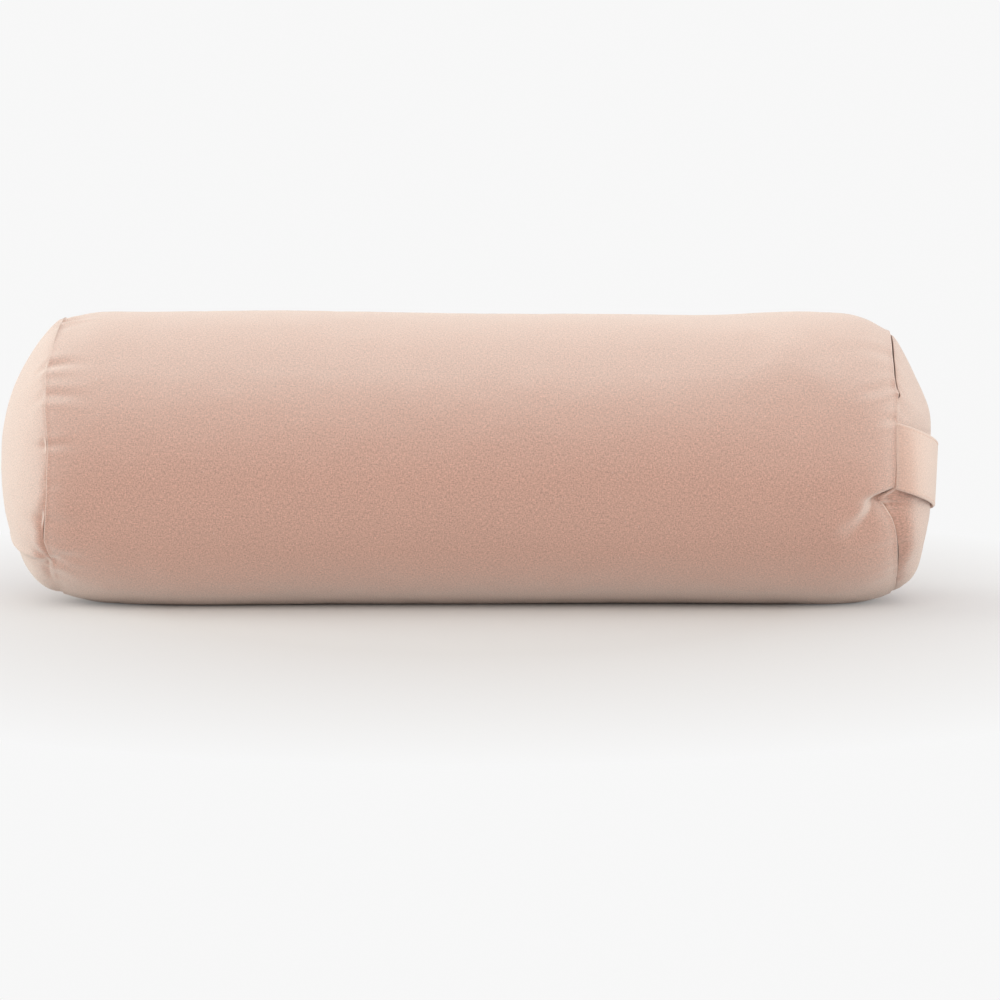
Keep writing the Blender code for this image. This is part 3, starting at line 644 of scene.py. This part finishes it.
def make_room(points):
    """Moves what lies under the fold at the handle's end towards the middle, clear of the canvas."""
    spread = bell(points[..., 0] - 292 * MM, 30 * MM) * bell(points[..., 2] - 78 * MM, 32 * MM)
    spread = spread * smooth(-points[..., 1] / (30 * MM)) * 0.14
    points[..., 1] *= 1 - spread
    points[..., 2] += (CENTRE - points[..., 2]) * spread
    return points


def make_liner_tube():
    """The muslin bag's tube, lying just inside the cover."""
    x_rows = np.linspace(-1, 1, 90) * (SEAM_X - 6 * MM)
    turn = np.linspace(0, 2 * math.pi, 161)
    points, _ = tube_points(x_rows, [(0, angle, 0.0) for angle in turn], LINER_INSET)
    near = smooth((np.abs(x_rows) - (SEAM_X - 26 * MM)) / (20 * MM))[:, None]
    end_centre = np.where(x_rows < 0, PLAIN["centre"], HANDLE["centre"])[:, None]
    draw_in = 1 - 0.09 * near
    points[..., 1] *= draw_in
    points[..., 2] = end_centre + (points[..., 2] - end_centre) * draw_in
    points[..., 2] = np.maximum(points[..., 2], 1.6 * MM)
    points = make_room(points)
    uv = np.stack([points[..., 0], np.broadcast_to(turn * RADIUS, points.shape[:2])], -1)
    return mesh_of("liner_tube_muslin", points, uv)


def make_liner_end(end, name):
    """The round of muslin that closes the bag behind an end panel."""
    climb = np.linspace(0, math.pi / 2, 26)[:, None]
    angle = np.linspace(0, 2 * math.pi, 121)[None, :-1]
    neck = end["radius"] - 14 * MM
    share = np.maximum(np.cos(climb), 0.002)
    rise = mix(-2 * MM, end["dome"] - 7 * MM, np.sin(climb) ** 1.25)
    x = end["side"] * (SEAM_X + rise + 0 * angle)
    points = around(x, angle, neck * share, end["centre"])
    points[..., 2] = np.maximum(points[..., 2], 2 * MM)
    ripple = 0.5 * MM * np.sin(14 * angle + 1) * share**3
    points[..., 0] -= end["side"] * np.abs(ripple)
    points = make_room(points)
    return mesh_of(name, points, points[..., 1:].copy(), closed=True)


def make_batting():
    """The rolled batting with its sheet softened: a little thinner, and uneven all over."""
    mesh = frame["nodes"]["batting_roll"].data.copy()
    for vertex, normal in [(v, v.normal.copy()) for v in mesh.vertices]:
        uneven = 0.5 + 0.5 * noise.noise(vertex.co / (18 * MM))
        vertex.co -= normal * MM * (0.6 + 1.2 * uneven)
    coords = np.array([vertex.co[:] for vertex in mesh.vertices])
    mesh.vertices.foreach_set("co", make_room(coords).ravel())
    shade_smooth(mesh)
    return placed("batting_rolled", mesh)


# The handle

STRAP_COLUMNS = 41
STRAP_STEPS = 96
# Radius of the bend by the seam, and how far out its middle lies from the seam plane
STRAP_BEND = 4.5 * MM
STRAP_RIM_X = 5.85 * MM
# How far the strap stands off the end at its middle, and how full its arch is: lower is fuller
STRAP_STAND_OFF = 1.8 * MM
STRAP_ARCH_POWER = 0.45


def strap_line():
    """The strap's middle line: distance across the end, and out from the seam plane."""
    rim = HANDLE["radius"] - 3 * MM
    apex = HANDLE["dome"] + STRAP_STAND_OFF + STRAP_THICKNESS / 2
    widest = rim + STRAP_BEND
    half = [(HANDLE["radius"] - 10 * MM, STRAP_RIM_X - STRAP_BEND)]
    for step in range(9):
        turn = math.pi / 2 * step / 8
        half.append((rim + STRAP_BEND * math.sin(turn), STRAP_RIM_X - STRAP_BEND * math.cos(turn)))
    arch = []
    for step in range(1, STRAP_STEPS):
        across = widest * math.cos(math.pi * step / STRAP_STEPS)
        share = (1 - (across / widest) ** 2) ** STRAP_ARCH_POWER
        arch.append((across, mix(STRAP_RIM_X, apex, share)))
    line = half + arch + [(-across, x) for across, x in half[::-1]]
    return np.array(line), widest


def strap_point(across, x, wide, widest):
    """Places of the strap's middle surface, from the way along its line and across its width."""
    radius = HANDLE["radius"]
    out = np.array([0, -math.cos(STRAP_ROLL), math.sin(STRAP_ROLL)])
    along = np.array([0, math.sin(STRAP_ROLL), math.cos(STRAP_ROLL)])
    follow = smooth(np.abs(across) / widest * 1.5 - 0.5)
    sagitta = radius - np.sqrt(radius**2 - wide**2)
    reach = across - np.copysign(sagitta * follow, across)
    droop = STRAP_DROOP * np.clip(x / HANDLE["dome"], 0, 1)
    point = np.array([SEAM_X, 0, HANDLE["centre"]]) + reach[..., None] * out + wide[..., None] * along
    point[..., 0] += x + 0.06 * wide * (1 - follow)
    point[..., 2] -= droop
    return point


def strap_surface():
    """Middle surface of the strap, its normals, and its arc length, on a grid of path by width."""
    line, widest = strap_line()
    wide = np.linspace(-0.5, 0.5, STRAP_COLUMNS) * STRAP_WIDTH
    middle = STRAP_COLUMNS // 2
    across = line[:, 0][:, None] + 0 * wide
    x = line[:, 1][:, None] + 0 * wide
    wide = np.broadcast_to(wide, across.shape)
    points = strap_point(across, x, wide, widest)
    arc = arc_length(points[:, middle])
    normals = grid_normals(points, False)
    if normals[len(normals) // 2, middle, 0] < 0:
        normals = -normals
    ripple = 0.5 * MM * np.sin(arc / (31 * MM) + 0.6)[:, None] * (wide / STRAP_WIDTH)
    points = points + normals * ripple[..., None]
    return points, normals, arc, wide


def make_strap():
    """The handle's canvas, a flat loop with rounded edges and a sewn-in line along each."""
    points, normals, arc, wide = strap_surface()
    from_edge = STRAP_WIDTH / 2 - np.abs(wide)
    edge = np.clip(from_edge / (1.2 * MM), 0, 1)
    swell = STRAP_THICKNESS / 2 * np.sqrt(1 - (1 - edge) ** 2) + 0.02 * MM
    seam = 0.28 * MM * bell(from_edge / MM - 3.2, 0.9)
    outer = points + normals * (swell - seam)[..., None]
    inner = points - normals * (swell - seam)[..., None]
    loop = np.concatenate([outer, inner[:, ::-1]], axis=1)
    width = np.concatenate([wide, 2 * STRAP_WIDTH - wide[:, ::-1]], axis=1)
    uv = np.stack([width, np.broadcast_to(arc[:, None], width.shape)], -1)
    return mesh_of("carry_handle", loop, uv, closed=True)


# Sewing thread

THREAD = 0.42 * MM
THREAD_LIFT = 0.12 * MM


def stitches(name, rows, length):
    """Short rounded thread stitches in one mesh, from rows of places, directions and normals."""
    sides, rings = 6, 5
    places, tangents, normals = (np.concatenate(part) for part in zip(*rows))
    verts, faces = [], []
    for place, tangent, normal in zip(places, tangents, normals):
        tangent = tangent / np.linalg.norm(tangent)
        normal = normal / np.linalg.norm(normal)
        side = np.cross(tangent, normal)
        base = len(verts)
        for ring in range(rings):
            t = ring / (rings - 1) * 2 - 1
            fat = THREAD / 2 * (1 - 0.55 * t**4)
            rise = THREAD_LIFT - 0.75 * THREAD * t**4
            middle = place + tangent * (t * length / 2) + normal * rise
            for k in range(sides):
                turn = 2 * math.pi * k / sides
                verts.append(middle + fat * (side * math.cos(turn) + normal * math.sin(turn)))
        for ring in range(rings - 1):
            for k in range(sides):
                a, b = base + ring * sides + k, base + ring * sides + (k + 1) % sides
                faces.append((a, b, b + sides, a + sides))
        faces.append(tuple(base + k for k in range(sides))[::-1])
        faces.append(tuple(base + (rings - 1) * sides + k for k in range(sides)))
    mesh = bpy.data.meshes.new(name)
    mesh.from_pydata([tuple(v) for v in verts], [], faces)
    shade_smooth(mesh)
    return placed(name, mesh)


def read_along(at, arc, values):
    """The values of a line's points at these distances along it."""
    return np.stack([np.interp(at, arc, values[:, k]) for k in range(3)], -1)


def along_line(line, normals, pitch):
    """Places at even steps along a line, with the line's direction and normal at each."""
    arc = arc_length(line)
    at = np.arange(pitch / 2, arc[-1], pitch)
    ahead = read_along(at + pitch / 4, arc, line)
    behind = read_along(at - pitch / 4, arc, line)
    return read_along(at, arc, line), ahead - behind, read_along(at, arc, normals)


def make_strap_stitching():
    """A row of stitches near each edge of the strap, clear of its folded-in tails."""
    points, normals, _, _ = strap_surface()
    rows = []
    for column in (2, STRAP_COLUMNS - 3):
        normal = normals[8:-8, column]
        line = points[8:-8, column] + normal * (STRAP_THICKNESS / 2 - 0.15 * MM)
        rows.append(along_line(line, normal, 3.0 * MM))
    return stitches("handle_stitching", rows, 2.4 * MM)


def make_zip_stitching():
    """The row of stitches that holds each of the zip's tapes to its hem."""
    rows = []
    across = np.array([0, math.sin(ZIP_ANGLE), math.cos(ZIP_ANGLE)])
    normal = np.array([0, -math.cos(ZIP_ANGLE), math.sin(ZIP_ANGLE)])
    origin = MIDDLE + normal * (LAND_DISTANCE - 0.25 * MM)
    x = np.linspace(-SLOT_END, SLOT_END, 200)[:, None] * np.array([1.0, 0, 0])
    for side in (-1, 1):
        line = origin + side * across * (SLOT_HALF + 5 * MM) + x
        rows.append(along_line(line, np.broadcast_to(normal, line.shape), 3.2 * MM))
    return stitches("zip_stitching", rows, 2.5 * MM)


# Materials


class Nodes:
    """A short way to build a material's nodes."""

    def __init__(self, name):
        self.material = bpy.data.materials.new(name)
        self.material.use_nodes = True
        self.tree = self.material.node_tree
        self.shader = self.tree.nodes["Principled BSDF"]

    def add(self, kind, inputs=None, **settings):
        node = self.tree.nodes.new("ShaderNode" + kind)
        for key, value in settings.items():
            setattr(node, key, value)
        for key, value in (inputs or {}).items():
            if isinstance(value, bpy.types.NodeSocket):
                self.tree.links.new(value, node.inputs[key])
            else:
                node.inputs[key].default_value = value
        return node

    def math(self, operation, a, b=0.0, c=0.0):
        return self.add("Math", {0: a, 1: b, 2: c}, operation=operation).outputs[0]

    def noise(self, vector, scale, detail=2.0, roughness=0.5):
        inputs = {"Vector": vector, "Scale": scale, "Detail": detail, "Roughness": roughness}
        return self.add("TexNoise", inputs).outputs[0]

    def scaled(self, vector, factors):
        return self.add("VectorMath", {0: vector, 1: factors}, operation="MULTIPLY").outputs[0]

    def stretched(self, vector, factors, detail=2.0, roughness=0.5):
        """Noise that is finer along some axes than others."""
        return self.noise(self.scaled(vector, factors), 1.0, detail, roughness)

    def ramp(self, value, low, high, to_low=0.0, to_high=1.0):
        inputs = {0: value, 1: low, 2: high, 3: to_low, 4: to_high}
        return self.add("MapRange", inputs, clamp=True).outputs[0]

    def blend(self, factor, a, b, mode="MIX"):
        inputs = {0: factor, 6: a, 7: b}
        return self.add("Mix", inputs, data_type="RGBA", blend_type=mode).outputs[2]

    def shaded(self, base, shade):
        """The base colour, made lighter or darker by a value."""
        plain = self.add("CombineXYZ", {0: shade, 1: shade, 2: shade}).outputs[0]
        return self.blend(1.0, (*base, 1), plain, "MULTIPLY")

    def link(self, output, name):
        self.tree.links.new(output, self.shader.inputs[name])

    def set(self, name, value):
        self.shader.inputs[name].default_value = value

    def bumps(self, height, distance, strength):
        """Lets the surface's normal follow a height."""
        bump = self.add("Bump", {"Height": height, "Distance": distance, "Strength": strength})
        self.link(bump.outputs[0], "Normal")


# The canvas's yarn, its sheen's strength, how far the sheen is tilted up (a painted highlight on the upper
# side), the range over which it comes to show, and its roughness
YARN = 0.85 * MM
NAP = 0.81
PAINTED_TOP_SHEEN_TILT = 0.42
NAP_START = 0.03
NAP_FULL = 0.36
NAP_ROUGHNESS = 1.0


def canvas_material(name, base, least, contrast=1.0):
    """Plain-woven cotton: round uneven yarns over and under, pale slubs, and a sheen tilted up as a
    painted highlight on top.

    least is the share of the nap that shows everywhere, and contrast that of the yarns' unevenness.
    """
    n = Nodes(name)
    uv = n.add("UVMap", uv_map="weave").outputs[0]
    split = n.add("SeparateXYZ", {0: uv})
    u, v = split.outputs[0], split.outputs[1]
    waver = n.stretched(uv, (260, 260, 1))
    u = n.math("MULTIPLY_ADD", waver, YARN * 0.9, u)
    v = n.math("MULTIPLY_ADD", waver, -YARN * 0.7, v)
    per_u = n.math("MULTIPLY", u, math.pi / YARN)
    per_v = n.math("MULTIPLY", v, math.pi / YARN)
    round_u = n.math("ABSOLUTE", n.math("SINE", per_u))
    round_v = n.math("ABSOLUTE", n.math("SINE", per_v))
    over = n.math("MULTIPLY", n.math("COSINE", per_u), n.math("COSINE", per_v))
    over = n.ramp(over, -0.35, 0.35)
    weave = n.add("Mix", {0: over, 2: round_u, 3: round_v}, data_type="FLOAT").outputs[0]
    warp = n.stretched(uv, (1250, 380, 1), 2.0, 0.6)
    weft = n.stretched(uv, (380, 1250, 1), 2.0, 0.6)
    grain = n.stretched(uv, (850, 850, 1), 2.0, 0.65)
    patches = n.stretched(uv, (24, 24, 1), 3.0)
    slub_v = n.ramp(n.stretched(uv, (800, 210, 1), 1.0), 0.735, 0.80)
    slub_u = n.ramp(n.stretched(uv, (190, 760, 1), 1.0), 0.755, 0.82)
    slub = n.math("MAXIMUM", slub_v, n.math("MULTIPLY", slub_u, 0.7))
    shade = n.math("MULTIPLY_ADD", warp, 0.84 * contrast, 0.94 - 1.22 * contrast)
    shade = n.math("MULTIPLY_ADD", weft, 0.68 * contrast, shade)
    shade = n.math("MULTIPLY_ADD", grain, 0.92 * contrast, shade)
    shade = n.math("MULTIPLY_ADD", patches, 0.06, shade)
    shade = n.math("MULTIPLY_ADD", weave, 0.07, shade)
    colour = n.shaded(base, shade)
    pale = tuple(min(1.0, c * 0.5 + 0.5) for c in base)
    colour = n.blend(n.math("MULTIPLY", slub, 0.42), colour, (*pale, 1))
    n.link(colour, "Base Color")
    n.link(n.ramp(grain, 0.3, 0.7, 0.86, 0.97), "Roughness")
    n.set("Specular IOR Level", 0.25)
    n.set("Diffuse Roughness", 1.0)
    # Painted highlight: the sheen's normal is tilted up, so upward faces show more sheen and look paler,
    # as if lit from above.
    settings = dict(vector_type="VECTOR", convert_from="OBJECT", convert_to="WORLD")
    up = n.add("VectorTransform", {0: (0, 0, PAINTED_TOP_SHEEN_TILT)}, **settings).outputs[0]
    normal = n.add("NewGeometry").outputs["Normal"]
    tilted_up_normal = n.add("VectorMath", {0: normal, 1: up}, operation="ADD").outputs[0]
    tilted_up_normal = n.add("VectorMath", {0: tilted_up_normal}, operation="NORMALIZE").outputs[0]
    facing = n.add("LayerWeight", {"Blend": 0.5, "Normal": tilted_up_normal}).outputs["Facing"]
    nap_and_painted_top_sheen = n.ramp(facing, NAP_START, NAP_FULL, least * NAP, NAP)
    n.link(n.math("MULTIPLY", nap_and_painted_top_sheen, n.ramp(grain, 0.3, 0.7, 0.78, 1.0)), "Sheen Weight")
    n.set("Sheen Roughness", NAP_ROUGHNESS)
    n.set("Sheen Tint", (1.0, 1.0, 0.95, 1.0))
    relief = n.math("MULTIPLY_ADD", weave, 0.40, n.math("MULTIPLY", grain, 0.55))
    relief = n.math("MULTIPLY_ADD", warp, 0.45, relief)
    relief = n.math("MULTIPLY_ADD", slub, 0.5, relief)
    n.bumps(relief, 0.32 * MM, 0.75)
    return n.material


def thread_material(name, base):
    """Twisted sewing thread."""
    n = Nodes(name)
    place = n.add("TexCoord").outputs["Object"]
    twist = n.noise(place, 2600.0, 2.0)
    n.link(n.shaded(base, n.ramp(twist, 0.3, 0.7, 0.82, 1.1)), "Base Color")
    n.set("Roughness", 0.7)
    n.set("Sheen Weight", 0.3)
    n.bumps(twist, 0.1 * MM, 0.6)
    return n.material


def fibre_material(name, base, scale, depth, sheen):
    """Muslin, tape or batting: fibres in object space."""
    n = Nodes(name)
    place = n.add("TexCoord").outputs["Object"]
    fine = n.stretched(place, (scale, scale, scale), 4.0, 0.7)
    long_way = n.stretched(place, (scale * 0.2, scale, scale), 3.0, 0.6)
    shade = n.math("MULTIPLY_ADD", fine, 0.25, n.math("MULTIPLY_ADD", long_way, 0.2, 0.78))
    n.link(n.shaded(base, shade), "Base Color")
    n.link(n.ramp(fine, 0.3, 0.7, 0.85, 0.98), "Roughness")
    n.set("Sheen Weight", sheen)
    n.bumps(n.math("ADD", fine, long_way), depth, 0.7)
    return n.material


def hard_material(name, base, metallic, low, high):
    """Moulded teeth or die-cast metal, with a fine grain and slight wear."""
    n = Nodes(name)
    place = n.add("TexCoord").outputs["Object"]
    grain = n.stretched(place, (1400, 1400, 1400), 3.0)
    smear = n.stretched(place, (150, 150, 150), 3.0)
    n.link(n.shaded(base, n.math("MULTIPLY_ADD", smear, 0.25, 0.86)), "Base Color")
    n.set("Metallic", metallic)
    n.link(n.ramp(smear, 0.3, 0.7, low, high), "Roughness")
    n.bumps(grain, 0.04 * MM, 0.4)
    return n.material


def dress(obj, material, slot, *nodes, body="cover"):
    """Gives a piece its material and body, and hides the nodes that it stands for."""
    obj.data.materials.clear()
    obj.data.materials.append(material)
    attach(obj, body)
    if nodes:
        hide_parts(*nodes)
    return obj


# Light, floor and camera

FLOOR = 0.72
FLOOR_HALF = 6.0
PAPER = 0.935
# Where the floor turns into plain paper, by distance from the middle, with X stretched by this
PAPER_FROM, PAPER_TO = 0.32, 0.80
PAPER_STRETCH = 1.35
WORLD_COLOUR = (1, 0.89, 0.89, 1)
WORLD_STRENGTH = 0.63
LAMP_COLOUR = (1.0, 1.06, 0.98)

# The camera: its distance, its tilt, the width that it sees, and the point that it looks at
CAMERA_DISTANCE = 2.8
CAMERA_TILT = math.radians(5)
CAMERA_WIDTH = 0.772
CAMERA_AIM = (0.0207, 0, 0.0779)
SENSOR = 36


def sun(name, azimuth, elevation, strength, angle):
    """A wide soft light. Azimuth 0 shines from the camera's side, 90 from the right."""
    data = bpy.data.lights.new(name, "SUN")
    data.energy = strength
    data.angle = math.radians(angle)
    data.color = LAMP_COLOUR
    a, e = math.radians(azimuth), math.radians(elevation)
    source = Vector((math.sin(a) * math.cos(e), -math.cos(a) * math.cos(e), math.sin(e)))
    placed(name, data).rotation_euler = source.to_track_quat("Z", "Y").to_euler()


def shown(tree):
    """1 for what the camera sees, straight or by reflection."""
    rays = tree.nodes.new("ShaderNodeLightPath").outputs
    total = rays["Is Camera Ray"]
    for name in ("Is Glossy Ray", "Is Transmission Ray"):
        either = tree.nodes.new("ShaderNodeMath")
        either.operation = "MAXIMUM"
        tree.links.new(total, either.inputs[0])
        tree.links.new(rays[name], either.inputs[1])
        total = either.outputs[0]
    return total


def studio():
    """The floor, which turns into plain paper away from the bolster, the world and the lamps."""
    half, back = FLOOR_HALF, FLOOR_HALF * 4
    mesh = bpy.data.meshes.new("floor")
    corners = [(-half, -half, 0), (half, -half, 0), (half, back, 0), (-half, back, 0)]
    mesh.from_pydata(corners, [], [(0, 1, 2, 3)])
    floor = placed("floor", mesh)
    floor.location.z = -0.1 * MM
    n = Nodes("floor paper")
    n.set("Base Color", (FLOOR, FLOOR, FLOOR, 1))
    n.set("Roughness", 0.95)
    n.set("Specular IOR Level", 0.0)
    place = n.scaled(n.add("TexCoord").outputs["Object"], (PAPER_STRETCH, 1.0, 1.0))
    away = n.add("VectorMath", {0: place}, operation="LENGTH").outputs["Value"]
    seen = n.math("MULTIPLY", n.ramp(away, PAPER_FROM, PAPER_TO), shown(n.tree))
    plain = n.add("Emission", {0: (PAPER, PAPER, PAPER, 1), 1: 1.0}).outputs[0]
    cover = n.add("MixShader", {0: seen, 1: n.shader.outputs[0], 2: plain}).outputs[0]
    n.tree.links.new(cover, n.tree.nodes["Material Output"].inputs["Surface"])
    mesh.materials.append(n.material)

    world = bpy.data.worlds.new("studio")
    bpy.context.scene.world = world
    world.use_nodes = True
    tree = world.node_tree
    glow = tree.nodes["Background"]
    glow.inputs[0].default_value = WORLD_COLOUR
    glow.inputs[1].default_value = WORLD_STRENGTH
    paper = tree.nodes.new("ShaderNodeBackground")
    paper.inputs[0].default_value = (PAPER, PAPER, PAPER, 1)
    paper.inputs[1].default_value = 1.0
    pick = tree.nodes.new("ShaderNodeMixShader")
    tree.links.new(shown(tree), pick.inputs[0])
    tree.links.new(glow.outputs[0], pick.inputs[1])
    tree.links.new(paper.outputs[0], pick.inputs[2])
    tree.links.new(pick.outputs[0], tree.nodes["World Output"].inputs[0])

    sun("front", 0, 32, 1.1, 60)
    sun("left", 262, 16, 1.95, 50)
    sun("right", 78, 16, 0.9, 40)


def camera():
    """A long lens in front of the bolster, tilted down a little."""
    data = bpy.data.cameras.new("camera")
    data.sensor_width = SENSOR
    data.lens = SENSOR * CAMERA_DISTANCE / CAMERA_WIDTH
    cam = placed("camera", data)
    back = Vector((0, -math.cos(CAMERA_TILT), math.sin(CAMERA_TILT)))
    cam.location = Vector(CAMERA_AIM) + back * CAMERA_DISTANCE
    cam.rotation_euler = back.to_track_quat("Z", "Y").to_euler()
    bpy.context.scene.camera = cam
    bpy.context.scene.view_settings.view_transform = "Standard"


camera()
studio()
canvas = canvas_material("blush canvas", (0.575, 0.338, 0.265), least=0.3)
# The strap's copy of the canvas is paler and shows its sheen almost everywhere: partly its slightly paler
# cloth, partly painted light on the strap.
handle_canvas = canvas_material("handle canvas", (0.68, 0.44, 0.35), least=0.6, contrast=0.6)
thread = thread_material("blush thread", (0.80, 0.56, 0.46))

tube_moves, left_moves, right_moves = settle_cloth()
tube = dress(make_tube(tube_moves), canvas, "canvas", "cover_body_panel")
left = dress(make_end(PLAIN, "cover_end_left", left_moves), canvas, "canvas", "cover_end_panel_plain")
right = dress(make_end(HANDLE, "cover_end_right", right_moves), canvas, "canvas", "cover_end_panel_handle")
dress(make_strap(), handle_canvas, "canvas", "handle_strap")
dress(make_strap_stitching(), thread, "canvas")
dress(make_zip_stitching(), thread, "canvas")

LOOKS = {
    "zip_tape": fibre_material("zip tape weave", (0.61, 0.39, 0.31), 1500, 0.15 * MM, 0.2),
    "zip_teeth": hard_material("moulded teeth", (0.63, 0.41, 0.33), 0.0, 0.35, 0.5),
    "zip_metal": hard_material("brushed zip metal", (0.40, 0.38, 0.34), 1.0, 0.30, 0.46),
    "muslin": fibre_material("unbleached muslin", (0.80, 0.73, 0.60), 1300, 0.15 * MM, 0.3),
    "batting": fibre_material("cotton batting", (0.86, 0.83, 0.75), 420, 1.0 * MM, 0.6),
}
for part in frame["record"]["subparts"]:
    look = LOOKS.get(part["material_slot"])
    node = frame["nodes"][part["node"]]
    if look and not node.hide_render:
        node.data.materials.clear()
        node.data.materials.append(look)
        node.data.polygons.foreach_set("material_index", np.zeros(len(node.data.polygons), np.int32))

muslin, cotton = LOOKS["muslin"], LOOKS["batting"]
liner = dress(make_liner_tube(), muslin, "muslin", "liner_tube")
liner_left = dress(make_liner_end(PLAIN, "liner_end_left"), muslin, "muslin", "liner_end_plain")
liner_right = dress(make_liner_end(HANDLE, "liner_end_right"), muslin, "muslin", "liner_end_handle")
roll = dress(make_batting(), cotton, "batting", "batting_roll")
